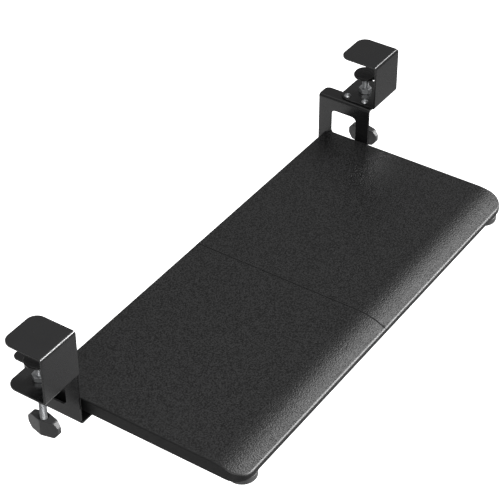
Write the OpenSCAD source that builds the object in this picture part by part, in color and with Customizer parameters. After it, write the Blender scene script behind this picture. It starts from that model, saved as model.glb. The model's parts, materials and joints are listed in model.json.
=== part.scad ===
// Clamp-on pull-out tray: two C clamps, a hanger bolted under each, and a two-piece board
// whose rails run on glides fixed to the hangers. The tray is drawn pulled out.
// Millimetres. +Z is up, +Y points away from the user and +X to the user's right.
// The origin is midway between the clamps, level with the top of the gripped panel
// and at the back of the clamps' front plates.

/* [Tray] */
// Width across both boards
tray_w = 680; // [600:10:800]
// Depth from the front edge to the rear edge
tray_d = 306; // [295:1:330]
// Thickness of the boards
tray_t = 20; // [16:1:22]
// Depth of the tray's top below the top of the gripped panel
tray_drop = 122.5; // [112:0.5:140]
// Distance of the front edge before the clamps, pulled out
tray_out = 234; // [225:1:240]
// Distance over which the front edge rolls down
roll_run = 46; // [30:1:60]
// Height that the front edge loses over that roll
roll_drop = 12.5; // [8:0.5:13]
// Radius of the nose between that roll and the front edge
nose_r = 2.5; // [1:0.5:4]
// Plan radius of the front corners
front_corner_r = 24; // [15:1:40]
// Plan radius of the rear corners
rear_corner_r = 8; // [3:1:15]
// Gap between the two boards at the middle seam
seam_gap = 0.4; // [0.2:0.1:1]

/* [Clamps] */
// Thickness of the bent steel
steel_t = 3; // [2.5:0.5:4]
// Inside radius of every bend
bend_r = 1.5; // [1:0.5:3]
// Width of each clamp
clamp_w = 65; // [58:1:75]
// Gap from the tray's end to the clamp's inner edge
clamp_gap = 13; // [12:0.5:18]
// Reach of the top plate and the jaw behind the front plate
clamp_reach = 61; // [56:1:70]
// Plan radius of the plates' rear corners
clamp_corner_r = 15; // [8:1:22]
// Height between the top plate and the jaw
throat_h = 67; // [60:1:80]
// Thickness of the soft pad under the top plate
jaw_pad_t = 1.5; // [1:0.5:2]
// Thickness of the panel that the clamps grip, as drawn
panel_t = 32; // [24:1:40]

/* [Clamp screws] */
// Diameter of the clamp screw
screw_d = 10; // [8:1:12]
// Distance from the panel's underside to the middle of the knob
screw_len = 110; // [98:0.5:123]
// Diameter of the round pressure pad
press_d = 36; // [30:1:42]
// Overall length of the wing knob
knob_len = 49; // [42:1:52]
// Height of the wing knob
knob_h = 25.5; // [20:0.5:28]
// Thickness of the knob at its middle
knob_t = 18; // [16:0.5:20]
// Thickness of the knob at its ends
knob_end_t = 6; // [5:0.5:8]

/* [Hangers] */
// Gap from the tray's end to the hanger's upright web
hanger_gap = 7.5; // [6:0.5:9]
// Distance of the hanger's front edge behind the clamp's front plate
hanger_set_back = 3.2; // [2:0.1:5]
// Depth of the hanger from front to rear
hanger_d = 88; // [84:1:100]
// Width of the bands around the window in the web
band_w = 22.5; // [18:0.5:26]
// Corner radius of that window
window_r = 8; // [4:1:12]
// Reach of the upper flange, outward under the jaw
upper_reach = 20.5; // [19:0.5:22]
// Reach of the lower flange, inward under the tray
lower_reach = 60; // [58:1:70]

/* [Rails and glides] */
// Distance of the rail's middle from the tray's end
rail_inset = 30; // [26:1:36]
// Width of the rail
rail_w = 40; // [36:1:44]
// Height of the rail
rail_h = 9.8; // [9:0.1:11]
// Thickness of the rail's sheet
rail_t = 1.5; // [1.2:0.1:1.6]
// Inside radius of the rail's bends
rail_bend_r = 0.5; // [0.3:0.1:0.6]
// Width of the slot along the rail's underside
slot_w = 18; // [17:0.5:20]
// Length of each glide
glide_len = 20; // [16:1:22]
// Running gap around the glides
glide_gap = 0.3; // [0.2:0.05:0.4]
// Diameter of the round stop under each front corner
stop_d = 40; // [34:1:44]
// Height of that stop
stop_h = 12.4; // [11.5:0.1:13]

/* [Hidden] */
$fn = 64;
left = -1;
right = 1;
sides = [left, right];
through = 1; // how far a cutter stands out of what it cuts
lap = 0.1;   // how far two joined shapes run into each other

// Colours
black_coat = "#2b2b2c";
black_laminate = "#303031";
black_plastic = "#26262a";
black_rubber = "#1d1d1e";
zinc = "#b9bcc0";
nylon = "#d9d8d0";
beech = "#c8a878";

// Tray
tray_top = -tray_drop;
tray_bottom = tray_top - tray_t;
tray_front = -tray_out;
tray_rear = tray_front + tray_d;
roll_r = (roll_run * roll_run + roll_drop * roll_drop) / (2 * roll_drop);
nose_run = roll_run - nose_r; // from the nose's middle back to the roll's
nose_rise = sqrt(pow(roll_r - nose_r, 2) - nose_run * nose_run);
nose_z = tray_top - roll_r + nose_rise;

// Rails and stops
rail_x = tray_w / 2 - rail_inset;
rail_bottom = tray_bottom - rail_h;
rail_roof = tray_bottom - rail_t;
rail_floor = rail_bottom + rail_t;
rail_bend_outer = rail_t + rail_bend_r;
rail_gap = 2; // from the front stop to the rail's front end
plug_cap_t = 2;
plug_len = 8;
plug_gap = 0.1;
stop_y = tray_front + stop_d / 2;
rail_front = stop_y + stop_d / 2 + rail_gap;
rail_rear = tray_rear - plug_cap_t;
plug_front = rail_rear - plug_len;

// Hangers
rail_clear = 1.2; // from the rail down to the hanger's lower flange
bend_outer = bend_r + steel_t;
web_in = tray_w / 2 + hanger_gap;
web_out = web_in + steel_t;
flange_top = rail_bottom - rail_clear;
hanger_bottom = flange_top - steel_t;
jaw_top = jaw_pad_t - throat_h;
hanger_top = jaw_top - steel_t;
hanger_front = hanger_set_back;
hanger_rear = hanger_front + hanger_d;
flange_corner_r = 8;

// Glides
glide_stop_gap = 0.5; // between the rear glide and the rear stop
glide_edge = 4;       // from the hanger's front edge to the front glide
glide_rear_y = plug_front - glide_stop_gap - glide_len / 2;
glide_front_y = hanger_front + glide_edge + glide_len / 2;
glide_corner_r = 4;
stem_corner_r = 2;
glide_screw_dx = 6.3;

// Clamps
clamp_x = tray_w / 2 + clamp_gap + clamp_w / 2;
plate_top = jaw_pad_t + steel_t;
screw_y = clamp_reach * 0.54;
screw_hole_gap = 0.6; // around the clamp screw in the jaw
jaw_pad_inset = 3;
jaw_pad_front_r = 2;

// Clamp screw, from the panel's underside down
pad_face_t = 2;
pad_plate_t = 2.5;
pad_boss_h = 3.5;
pad_boss_r = 8;
pad_pivot_r = 3;
pad_pivot_gap = 0.05;
pad_pivot_room = 0.5; // over the end of the pivot
pad_face_inset = 1;
pad_seat = -panel_t - pad_face_t;
pad_low = pad_seat - pad_plate_t - pad_boss_h;
thrust_gap = 0.2;
thread_gap = 0.05;
knob_z = -panel_t - screw_len;
knob_cut = [0.15 * knob_len, 0.37 * knob_h]; // what each corner of the knob loses in Y and Z
knob_well = 4.5;                             // depth of the round well where the screw enters
knob_well_r = screw_d / 2 + 1.7;
knob_seat = knob_z + knob_h / 2 - knob_well;
knob_grip = 10;                              // length of the screw inside the knob

// Fasteners
hole_gap = 0.1;  // between a screw and its hole
head_room = 0.7; // around and over a screw head
nut_h = 8;
nut_flat = 1.7 * screw_d;
bolt_r = 3;
bolt_head_r = 5.3;
bolt_head_h = 3.3;
bolt_nut_h = 5;
bolt_nut_flat = 10;
bolt_tail = 1.5;
bolt_inset = 11; // from the hanger's web
bolt_first = 16; // from the hanger's front edge
bolt_pitch = 30;
bolt_x = web_out + bolt_inset;
bolt_ys = [for (i = [0, 1]) hanger_front + bolt_first + i * bolt_pitch];
wood_screw_r = 2;
wood_screw_len = 14;
wood_point_len = 3;
wood_point_r = 0.5;
wood_head_r = 3.5;
wood_head_h = 2.2;
glide_screw_r = 2;
glide_screw_len = 8;
glide_head_r = 4;
rail_screw_count = 4;
rail_screw_edge = 15; // from the rail's front end and from the plug
rail_screw_pitch = (plug_front - rail_front - 2 * rail_screw_edge) / (rail_screw_count - 1);
rail_screw_ys = [for (i = [0:rail_screw_count - 1]) rail_front + rail_screw_edge + i * rail_screw_pitch];
stop_recess = 5;
plug_recess = rail_t + wood_head_h + head_room;

// Joint between the boards
plate_w = 110;
plate_d = 40;
plate_t = 2;
plate_corner_r = 6;
plate_screw_dx = 38;
plate_screw_dy = 12;
plate_front_y = tray_front + 0.3 * tray_d;
plate_rear_y = tray_front + 0.8 * tray_d;
dowel_r = 4;
dowel_len = 36;
dowel_ys = [for (share = [0.2, 0.5, 0.9]) tray_front + share * tray_d];
dowel_z = tray_bottom + tray_t / 2;
dowel_room = 1; // past the end of each dowel

// Draws a right-hand piece, or its mirror image on the left
module on_side(side) {
    mirror([side == left ? 1 : 0, 0, 0]) children();
}

// A strip from the origin along +Y, centred on X, rounded at its two corners on Y = 0
module rounded_strip(w, r) {
    translate([r - w / 2, 0]) square([w - 2 * r, r + lap]);
    for (side = sides) translate([side * (w / 2 - r), r]) circle(r);
}

// A rectangle from the origin along +Y, centred on X, with separate front and rear corner radii
module corner_plan(w, d, front_r, rear_r) {
    translate([-w / 2, front_r]) square([w, d - front_r - rear_r]);
    if (front_r > 0) rounded_strip(w, front_r);
    translate([0, d]) mirror([0, 1]) rounded_strip(w, rear_r);
}

// An angle section with its outer corner at the origin and its legs along +X and +Y
module angle_section(leg_x, leg_y) {
    translate([bend_outer, 0]) square([leg_x - bend_outer, steel_t]);
    translate([0, bend_outer]) square([steel_t, leg_y - bend_outer]);
    intersection() {
        square(bend_outer);
        difference() {
            translate([bend_outer, bend_outer]) circle(bend_outer);
            translate([bend_outer, bend_outer]) circle(bend_r);
        }
    }
}

// Stands a section drawn in X and Z up, and runs it along +Y from y_from to y_to
module run_along_y(y_from, y_to) {
    translate([0, y_to, 0]) rotate([90, 0, 0]) linear_extrude(y_to - y_from) children();
}

// Runs a section drawn in Y and Z along +X from x_from to x_to
module run_along_x(x_from, x_to) {
    translate([x_from, 0, 0]) rotate([90, 0, 90]) linear_extrude(x_to - x_from) children();
}

// A pan-head wood screw, point up, with its head under the origin
module wood_screw() {
    crown_h = wood_head_h * 0.6;
    crown_r = wood_head_r * 0.8;
    rim_h = wood_head_h - crown_h;
    shank = wood_screw_len - wood_point_len;
    translate([0, 0, -wood_head_h]) cylinder(h = crown_h, r1 = crown_r, r2 = wood_head_r);
    translate([0, 0, -rim_h]) cylinder(h = rim_h, r = wood_head_r);
    cylinder(h = shank, r = wood_screw_r);
    translate([0, 0, shank]) cylinder(h = wood_point_len, r1 = wood_screw_r, r2 = wood_point_r);
}

// A hole for that screw, up from the origin
module screw_hole(depth) {
    cylinder(h = depth, r = wood_screw_r + hole_gap);
}

// Its pilot hole in a board's underside
module wood_pilot() {
    translate([0, 0, -through]) screw_hole(wood_screw_len + through);
}

// Places a child at each rail screw, under the rail's roof, on the right-hand rail
module at_rail_screws(z) {
    for (y = rail_screw_ys) translate([rail_x, y, z]) children();
}

// Places a child at the front and rear stop's screw on the right-hand side
module at_front_stop(z) {
    translate([rail_x, stop_y, z]) children();
}
module at_rear_stop(z) {
    translate([rail_x, plug_front + plug_len / 2, z]) children();
}

// Places a child at the four screws of one joining plate, or at the two on one side
module at_plate_screws(y, chosen_sides, z) {
    for (side = chosen_sides, row = [-1, 1])
        translate([side * plate_screw_dx, y + row * plate_screw_dy, z]) children();
}

// Side view of the board: flat on top, rolled down along the front to a round nose
module board_section() {
    nose_end = nose_r * (1 - nose_run / (roll_r - nose_r)); // where the nose meets the roll
    translate([tray_front + roll_run, tray_bottom]) square([tray_d - roll_run, tray_t]);
    difference() {
        intersection() {
            translate([tray_front, tray_bottom]) square([roll_run + lap, tray_t]);
            translate([tray_front + roll_run, tray_top - roll_r]) circle(roll_r, $fn = 180);
        }
        difference() {
            translate([tray_front - through, nose_z]) square([nose_end + through, tray_t]);
            translate([tray_front + nose_r, nose_z]) circle(nose_r);
        }
    }
}

// Half of the tray: rolled front edge, rounded corners, pilot holes and dowel holes
module tray_board(side) {
    color(black_laminate) on_side(side) difference() {
        intersection() {
            run_along_x(seam_gap / 2, tray_w / 2) board_section();
            translate([0, tray_front, tray_bottom - through])
                linear_extrude(tray_t + 2 * through)
                    corner_plan(tray_w, tray_d, front_corner_r, rear_corner_r);
        }
        at_rail_screws(tray_bottom) wood_pilot();
        at_front_stop(tray_bottom) wood_pilot();
        at_rear_stop(tray_bottom) wood_pilot();
        for (y = [plate_front_y, plate_rear_y]) at_plate_screws(y, [right], tray_bottom) wood_pilot();
        for (y = dowel_ys)
            translate([0, y, dowel_z]) rotate([0, 90, 0])
                cylinder(h = dowel_len / 2 + dowel_room, r = dowel_r + hole_gap);
    }
}

// Flat steel plate that ties the two boards together underneath
module joining_plate(y) {
    color(zinc) difference() {
        translate([0, y - plate_d / 2, tray_bottom - plate_t])
            linear_extrude(plate_t) corner_plan(plate_w, plate_d, plate_corner_r, plate_corner_r);
        at_plate_screws(y, sides, tray_bottom - plate_t - through) screw_hole(plate_t + 2 * through);
    }
}

module joining_screws() {
    color(zinc)
        for (y = [plate_front_y, plate_rear_y])
            at_plate_screws(y, sides, tray_bottom - plate_t) wood_screw();
}

// Round wooden dowels across the seam
module joining_dowels() {
    color(beech)
        for (y = dowel_ys)
            translate([-dowel_len / 2, y, dowel_z]) rotate([0, 90, 0]) cylinder(h = dowel_len, r = dowel_r);
}

// Cross-section of the rail in X and Z: a roof, two walls and two lips turned in under it
module rail_section() {
    translate([rail_x, rail_bottom]) difference() {
        corner_plan(rail_w, rail_h, rail_bend_outer, rail_bend_outer);
        translate([0, rail_t])
            corner_plan(rail_w - 2 * rail_t, rail_h - 2 * rail_t, rail_bend_r, rail_bend_r);
        translate([-slot_w / 2, -through]) square([slot_w, rail_t + 2 * through]);
    }
}

// Steel rail screwed under the end of a board
module tray_rail(side) {
    color(black_coat) on_side(side) difference() {
        run_along_y(rail_front, rail_rear) rail_section();
        at_rail_screws(rail_roof - through) screw_hole(rail_t + 2 * through);
        at_rear_stop(rail_roof - through) screw_hole(rail_t + 2 * through);
    }
}

module rail_screws() {
    color(zinc) for (side = sides) on_side(side) at_rail_screws(rail_roof) wood_screw();
}

// Round buffer under the front corner, turned, with a soft lower rim and a recessed screw hole
module front_stop(side) {
    rim_r = 1.5;
    radius = stop_d / 2;
    color(black_rubber) on_side(side) at_front_stop(tray_bottom - stop_h) difference() {
        rotate_extrude() {
            translate([0, rim_r]) square([radius, stop_h - rim_r]);
            square([radius - rim_r, rim_r + lap]);
            translate([radius - rim_r, rim_r]) circle(rim_r);
        }
        translate([0, 0, -through]) screw_hole(stop_h + 2 * through);
        translate([0, 0, -through]) cylinder(h = stop_recess + through, r = wood_head_r + head_room);
    }
}

// Moulded plug in the rail's rear end, with a cap over the end and a recessed screw hole
module rear_stop(side) {
    inner_w = rail_w - 2 * (rail_t + plug_gap);
    inner_h = rail_h - 2 * (rail_t + plug_gap);
    color(black_plastic) on_side(side) difference() {
        union() {
            run_along_y(plug_front, rail_rear + lap)
                translate([rail_x, rail_floor + plug_gap])
                    corner_plan(inner_w, inner_h, rail_bend_r, rail_bend_r);
            run_along_y(rail_rear, rail_rear + plug_cap_t)
                translate([rail_x, rail_bottom])
                    corner_plan(rail_w, rail_h, rail_bend_outer, rail_bend_outer);
        }
        at_rear_stop(rail_bottom) screw_hole(rail_h);
        at_rear_stop(rail_bottom) cylinder(h = plug_recess, r = wood_head_r + head_room);
    }
}

// The screws of the front and rear stops, with their heads in the recesses
module stop_screws() {
    color(zinc) for (side = sides) on_side(side) {
        at_front_stop(tray_bottom - stop_h + stop_recess) wood_screw();
        at_rear_stop(rail_bottom + plug_recess) wood_screw();
    }
}

// Side view of the clamp in Y and Z: top plate, front plate and jaw, bent from one strip
module clamp_section() {
    half = throat_h / 2 + steel_t;
    reach = clamp_reach + steel_t;
    translate([-steel_t, jaw_top - steel_t]) angle_section(reach, half + lap);
    translate([-steel_t, plate_top]) mirror([0, 1]) angle_section(reach, half + lap);
}

// Bent steel C clamp, with holes in the jaw for the clamp screw and the hanger's bolts
module clamp(side) {
    color(black_coat) on_side(side) difference() {
        intersection() {
            run_along_x(clamp_x - clamp_w / 2, clamp_x + clamp_w / 2) clamp_section();
            translate([clamp_x, -steel_t, jaw_top - steel_t - through])
                linear_extrude(throat_h + 2 * steel_t + 2 * through)
                    corner_plan(clamp_w, clamp_reach + steel_t, 0, clamp_corner_r);
        }
        translate([clamp_x, screw_y, jaw_top - steel_t - through])
            cylinder(h = steel_t + 2 * through, r = screw_d / 2 + screw_hole_gap);
        for (y = bolt_ys)
            translate([bolt_x, y, jaw_top - steel_t - through])
                cylinder(h = steel_t + 2 * through, r = bolt_r + hole_gap);
    }
}

// Soft pad under the top plate
module jaw_pad(side) {
    color(black_rubber) on_side(side)
        translate([clamp_x, bend_outer, 0])
            linear_extrude(jaw_pad_t)
                corner_plan(
                    clamp_w - 2 * jaw_pad_inset, clamp_reach - bend_outer - jaw_pad_inset,
                    jaw_pad_front_r, clamp_corner_r - jaw_pad_inset
                );
}

// Hexagon nut fixed on the jaw, chamfered at its upper corners
module clamp_nut(side) {
    corner_r = nut_flat / 2 / cos(30);
    color(zinc) on_side(side) translate([clamp_x, screw_y, jaw_top]) difference() {
        intersection() {
            cylinder(h = nut_h, r = corner_r, $fn = 6);
            cylinder(h = nut_h, r1 = corner_r + nut_h * 0.6, r2 = nut_flat / 2);
        }
        translate([0, 0, -through]) cylinder(h = nut_h + 2 * through, r = screw_d / 2 + thread_gap);
    }
}

// Clamp screw: a shank with a turned-down pivot at its top
module clamp_screw(side) {
    shank_top = pad_low - thrust_gap;
    shank_low = knob_seat - knob_grip;
    color(zinc) on_side(side) translate([clamp_x, screw_y, 0]) {
        translate([0, 0, shank_low]) cylinder(h = shank_top - shank_low, r = screw_d / 2);
        translate([0, 0, shank_top - lap]) cylinder(h = pad_boss_h + thrust_gap + lap, r = pad_pivot_r);
    }
}

// Front view of the knob in Y and Z: a bar with its four corners cut off
module knob_outline() {
    full = [knob_len, knob_h] / 2;
    cut = full - knob_cut;
    translate([0, knob_z]) polygon([
        [-full.x, -cut.y], [-cut.x, -full.y], [cut.x, -full.y], [full.x, -cut.y],
        [full.x, cut.y], [cut.x, full.y], [-cut.x, full.y], [-full.x, cut.y]
    ]);
}

// Plan of the knob in X and Y: thickest at the middle, thinner towards both ends
module knob_plan() {
    polygon([
        [-knob_t / 2, 0], [-knob_end_t / 2, -knob_len / 2], [knob_end_t / 2, -knob_len / 2],
        [knob_t / 2, 0], [knob_end_t / 2, knob_len / 2], [-knob_end_t / 2, knob_len / 2]
    ]);
}

// Wing knob moulded round the lower end of the clamp screw, which enters it in a round well
module knob(side) {
    color(black_plastic) on_side(side) translate([clamp_x, screw_y, 0]) difference() {
        intersection() {
            run_along_x(-knob_t, knob_t) knob_outline();
            translate([0, 0, knob_z - knob_h]) linear_extrude(2 * knob_h) knob_plan();
        }
        translate([0, 0, knob_seat]) cylinder(h = knob_h, r = knob_well_r);
        translate([0, 0, knob_seat - knob_grip]) cylinder(h = knob_h, r = screw_d / 2);
    }
}

// Pressure pad: a round plate with a boss that turns on the screw's pivot
module pressure_pad(side) {
    color(black_coat) on_side(side) translate([clamp_x, screw_y, pad_low]) difference() {
        union() {
            cylinder(h = pad_boss_h + lap, r = pad_boss_r);
            translate([0, 0, pad_boss_h]) cylinder(h = pad_plate_t, r = press_d / 2);
        }
        translate([0, 0, -through])
            cylinder(h = through + pad_boss_h + pad_pivot_room, r = pad_pivot_r + pad_pivot_gap);
    }
}

// Soft face on the pressure pad, with a rounded upper rim
module pad_face(side) {
    rim_r = 1;
    radius = press_d / 2 - pad_face_inset;
    color(black_rubber) on_side(side) translate([clamp_x, screw_y, pad_seat]) rotate_extrude() {
        square([radius, pad_face_t - rim_r]);
        square([radius - rim_r, pad_face_t]);
        translate([radius - rim_r, pad_face_t - rim_r]) circle(rim_r);
    }
}

// Front view of the hanger in X and Z: upper flange out, upright web, lower flange in
module hanger_section() {
    half = (hanger_top - hanger_bottom) / 2;
    translate([web_in, hanger_top]) mirror([0, 1]) angle_section(steel_t + upper_reach, half + lap);
    translate([web_out, hanger_bottom]) mirror([1, 0]) angle_section(steel_t + lower_reach, half + lap);
}

// Window in the hanger's web, in Y and Z
module hanger_window() {
    low = hanger_bottom + band_w;
    tall = hanger_top - hanger_bottom - 2 * band_w;
    translate([hanger_front + hanger_d / 2, low])
        corner_plan(hanger_d - 2 * band_w, tall, window_r, window_r);
}

// Plan of the hanger, with its two free edges rounded at their corners
module hanger_plan() {
    span = lower_reach + steel_t + upper_reach;
    translate([web_in - lower_reach + span / 2, hanger_front])
        corner_plan(span, hanger_d, flange_corner_r, flange_corner_r);
}

// Places a child at each screw of the glides on the right-hand hanger
module at_glide_screws(y, z) {
    for (row = [-1, 1]) translate([rail_x + row * glide_screw_dx, y, z]) children();
}

// Bent steel hanger: bolted under the jaw, open in the middle of its web
module hanger(side) {
    color(black_coat) on_side(side) difference() {
        intersection() {
            run_along_y(hanger_front, hanger_rear) hanger_section();
            translate([0, 0, hanger_bottom - through])
                linear_extrude(hanger_top - hanger_bottom + 2 * through) hanger_plan();
        }
        run_along_x(web_in - bend_r - through, web_out + bend_r + through) hanger_window();
        for (y = bolt_ys)
            translate([bolt_x, y, hanger_top - steel_t - through])
                cylinder(h = steel_t + 2 * through, r = bolt_r + hole_gap);
        for (y = [glide_front_y, glide_rear_y]) at_glide_screws(y, hanger_bottom) {
            translate([0, 0, -through]) cylinder(h = steel_t + 2 * through, r = glide_screw_r + hole_gap);
            cylinder(h = glide_head_r - glide_screw_r, r1 = glide_head_r, r2 = glide_screw_r);
        }
    }
}

// Bolts that hold the hangers, domed heads on the jaw
module hanger_bolts() {
    shank = 2 * steel_t + bolt_nut_h + bolt_tail;
    dome_r = (bolt_head_r * bolt_head_r + bolt_head_h * bolt_head_h) / (2 * bolt_head_h);
    color(zinc) for (side = sides, y = bolt_ys) on_side(side) translate([bolt_x, y, jaw_top]) {
        translate([0, 0, -shank]) cylinder(h = shank + lap, r = bolt_r);
        rotate_extrude() intersection() {
            square([bolt_head_r, bolt_head_h]);
            translate([0, bolt_head_h - dome_r]) circle(dome_r);
        }
    }
}

module hanger_nuts() {
    color(zinc) for (side = sides, y = bolt_ys)
        on_side(side) translate([bolt_x, y, hanger_top - steel_t - bolt_nut_h]) difference() {
            cylinder(h = bolt_nut_h, r = bolt_nut_flat / 2 / cos(30), $fn = 6);
            translate([0, 0, -through]) cylinder(h = bolt_nut_h + 2 * through, r = bolt_r + hole_gap);
        }
}

// T-shaped glide: a stem through the rail's slot, a head inside the rail and a groove for the rail screws
module glide(side, y) {
    head_w = rail_w - 2 * (rail_t + glide_gap);
    head_low = rail_floor + glide_gap;
    head_top = rail_roof - glide_gap;
    stem_w = slot_w - 2 * glide_gap;
    groove_w = 2 * (wood_head_r + head_room);
    groove_h = wood_head_h + head_room;
    screw_depth = glide_screw_len - steel_t + head_room;
    color(nylon) on_side(side) translate([rail_x, y - glide_len / 2, 0]) difference() {
        union() {
            translate([0, 0, flange_top])
                linear_extrude(head_low - flange_top + lap)
                    corner_plan(stem_w, glide_len, stem_corner_r, stem_corner_r);
            translate([0, 0, head_low])
                linear_extrude(head_top - head_low)
                    corner_plan(head_w, glide_len, glide_corner_r, glide_corner_r);
        }
        translate([-groove_w / 2, -through, head_top - groove_h])
            cube([groove_w, glide_len + 2 * through, groove_h + through]);
        for (row = [-1, 1])
            translate([row * glide_screw_dx, glide_len / 2, flange_top - through])
                cylinder(h = screw_depth + through, r = glide_screw_r + hole_gap);
    }
}

// Countersunk screws of the glides, flush with the hangers' undersides
module glide_screws() {
    color(zinc) for (side = sides, y = [glide_front_y, glide_rear_y])
        on_side(side) at_glide_screws(y, hanger_bottom) {
            cylinder(h = glide_screw_len, r = glide_screw_r);
            cylinder(h = glide_head_r - glide_screw_r, r1 = glide_head_r, r2 = glide_screw_r);
        }
}

tray_board(left);  // tray_board_left
tray_board(right);  // tray_board_right
joining_plate(plate_front_y);  // joining_plate_front
joining_plate(plate_rear_y);  // joining_plate_rear
joining_screws();
joining_dowels();
tray_rail(left);  // tray_rail_left
tray_rail(right);  // tray_rail_right
rail_screws();
front_stop(left);  // front_stop_left
front_stop(right);  // front_stop_right
rear_stop(left);  // rear_stop_left
rear_stop(right);  // rear_stop_right
stop_screws();
clamp(left);  // clamp_left
clamp(right);  // clamp_right
jaw_pad(left);  // jaw_pad_left
jaw_pad(right);  // jaw_pad_right
clamp_nut(left);  // clamp_nut_left
clamp_nut(right);  // clamp_nut_right
clamp_screw(left);  // clamp_screw_left
clamp_screw(right);  // clamp_screw_right
knob(left);  // knob_left
knob(right);  // knob_right
pressure_pad(left);  // pressure_pad_left
pressure_pad(right);  // pressure_pad_right
pad_face(left);  // pad_face_left
pad_face(right);  // pad_face_right
hanger(left);  // hanger_left
hanger(right);  // hanger_right
hanger_bolts();
hanger_nuts();
glide(left, glide_front_y);  // glide_front_left
glide(right, glide_front_y);  // glide_front_right
glide(left, glide_rear_y);  // glide_rear_left
glide(right, glide_rear_y);  // glide_rear_right
glide_screws();
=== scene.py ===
"""Finish of a clamp-on pull-out tray: two wrapped boards on rails, under bent steel clamps.

The file is laid out as an add-on and run as a script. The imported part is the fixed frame, and
sizes and places are read from it or are properties. Lengths are metres, +Z is up, +Y points away
from the user and +X to the user's right. A bent, wrapped or winged piece is worked out for the right
hand, and its left-hand twin is that piece with X turned round. Flat and round pieces and fasteners
are made in their own nodes' boxes.
"""

import json
import math

import bmesh
import bpy
import numpy as np
from bpy.props import FloatProperty, FloatVectorProperty, PointerProperty
from mathutils import Matrix, Vector


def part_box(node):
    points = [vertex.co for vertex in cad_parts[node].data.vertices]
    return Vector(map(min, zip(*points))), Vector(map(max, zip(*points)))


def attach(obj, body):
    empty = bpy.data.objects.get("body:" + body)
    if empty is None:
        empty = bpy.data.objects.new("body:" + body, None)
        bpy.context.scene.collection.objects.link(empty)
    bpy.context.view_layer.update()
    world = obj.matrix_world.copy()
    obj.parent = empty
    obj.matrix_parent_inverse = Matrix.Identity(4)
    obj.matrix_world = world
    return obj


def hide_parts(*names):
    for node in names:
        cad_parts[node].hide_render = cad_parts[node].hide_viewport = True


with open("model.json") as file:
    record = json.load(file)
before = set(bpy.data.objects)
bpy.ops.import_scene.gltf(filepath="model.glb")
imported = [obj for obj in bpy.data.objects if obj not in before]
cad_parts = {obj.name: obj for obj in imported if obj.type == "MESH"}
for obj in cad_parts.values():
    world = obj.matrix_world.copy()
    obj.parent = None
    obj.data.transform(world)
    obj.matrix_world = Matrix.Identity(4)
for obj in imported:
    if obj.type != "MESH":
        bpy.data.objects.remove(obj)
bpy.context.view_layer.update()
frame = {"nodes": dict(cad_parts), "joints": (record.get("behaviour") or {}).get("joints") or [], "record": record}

bl_info = {
    "name": "Pull-out tray finish",
    "version": (1, 0, 0),
    "blender": (4, 5, 0),
    "location": "View3D > Sidebar > Tray",
    "description": "Builds and lights the finished pieces of a clamp-on pull-out tray",
    "category": "Object",
}

SIDES = {"left": -1, "right": 1}
BODY_OF = {n: body for body, nodes in frame["record"]["behaviour"]["bodies"].items() for n in nodes}
SCREW_AXIS = next(j["pos_m"] for j in frame["joints"] if j["name"] == "screw_right_turn")
MM = 0.001
WELD = 2e-7  # points nearer than this are one
DOWN = np.array([0.0, 0.0, -1.0])
LEFT = np.array([-1.0, 0.0, 0.0])
CORNER_STEPS = 10  # rows in a rounded corner of a strip
RIM_STEPS = 4  # steps in a rounded edge
AROUND = 64  # points round a screw
FINE_AROUND = 96  # points round a stop or a pad
CROWN_ROWS = 22  # rings on a screw's crown
SHARP_ANGLE = 38.0  # degrees between faces, past which an edge stays sharp
WHITE = (1, 1, 1, 1)


def length(name, description, default):
    """A length property in metres."""
    return FloatProperty(name=name, description=description, default=default, unit="LENGTH", precision=5)


def tint(name, description, default):
    """A colour property."""
    return FloatVectorProperty(
        name=name, description=description, default=default, size=3, subtype="COLOR", min=0, max=1
    )


def number(name, description, default):
    """A plain number property."""
    return FloatProperty(name=name, description=description, default=default)


def on_floor(name, description, default):
    """A place on the floor, or two lengths there, in metres."""
    return FloatVectorProperty(
        name=name, description=description, default=default, size=2, subtype="TRANSLATION"
    )


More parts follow.
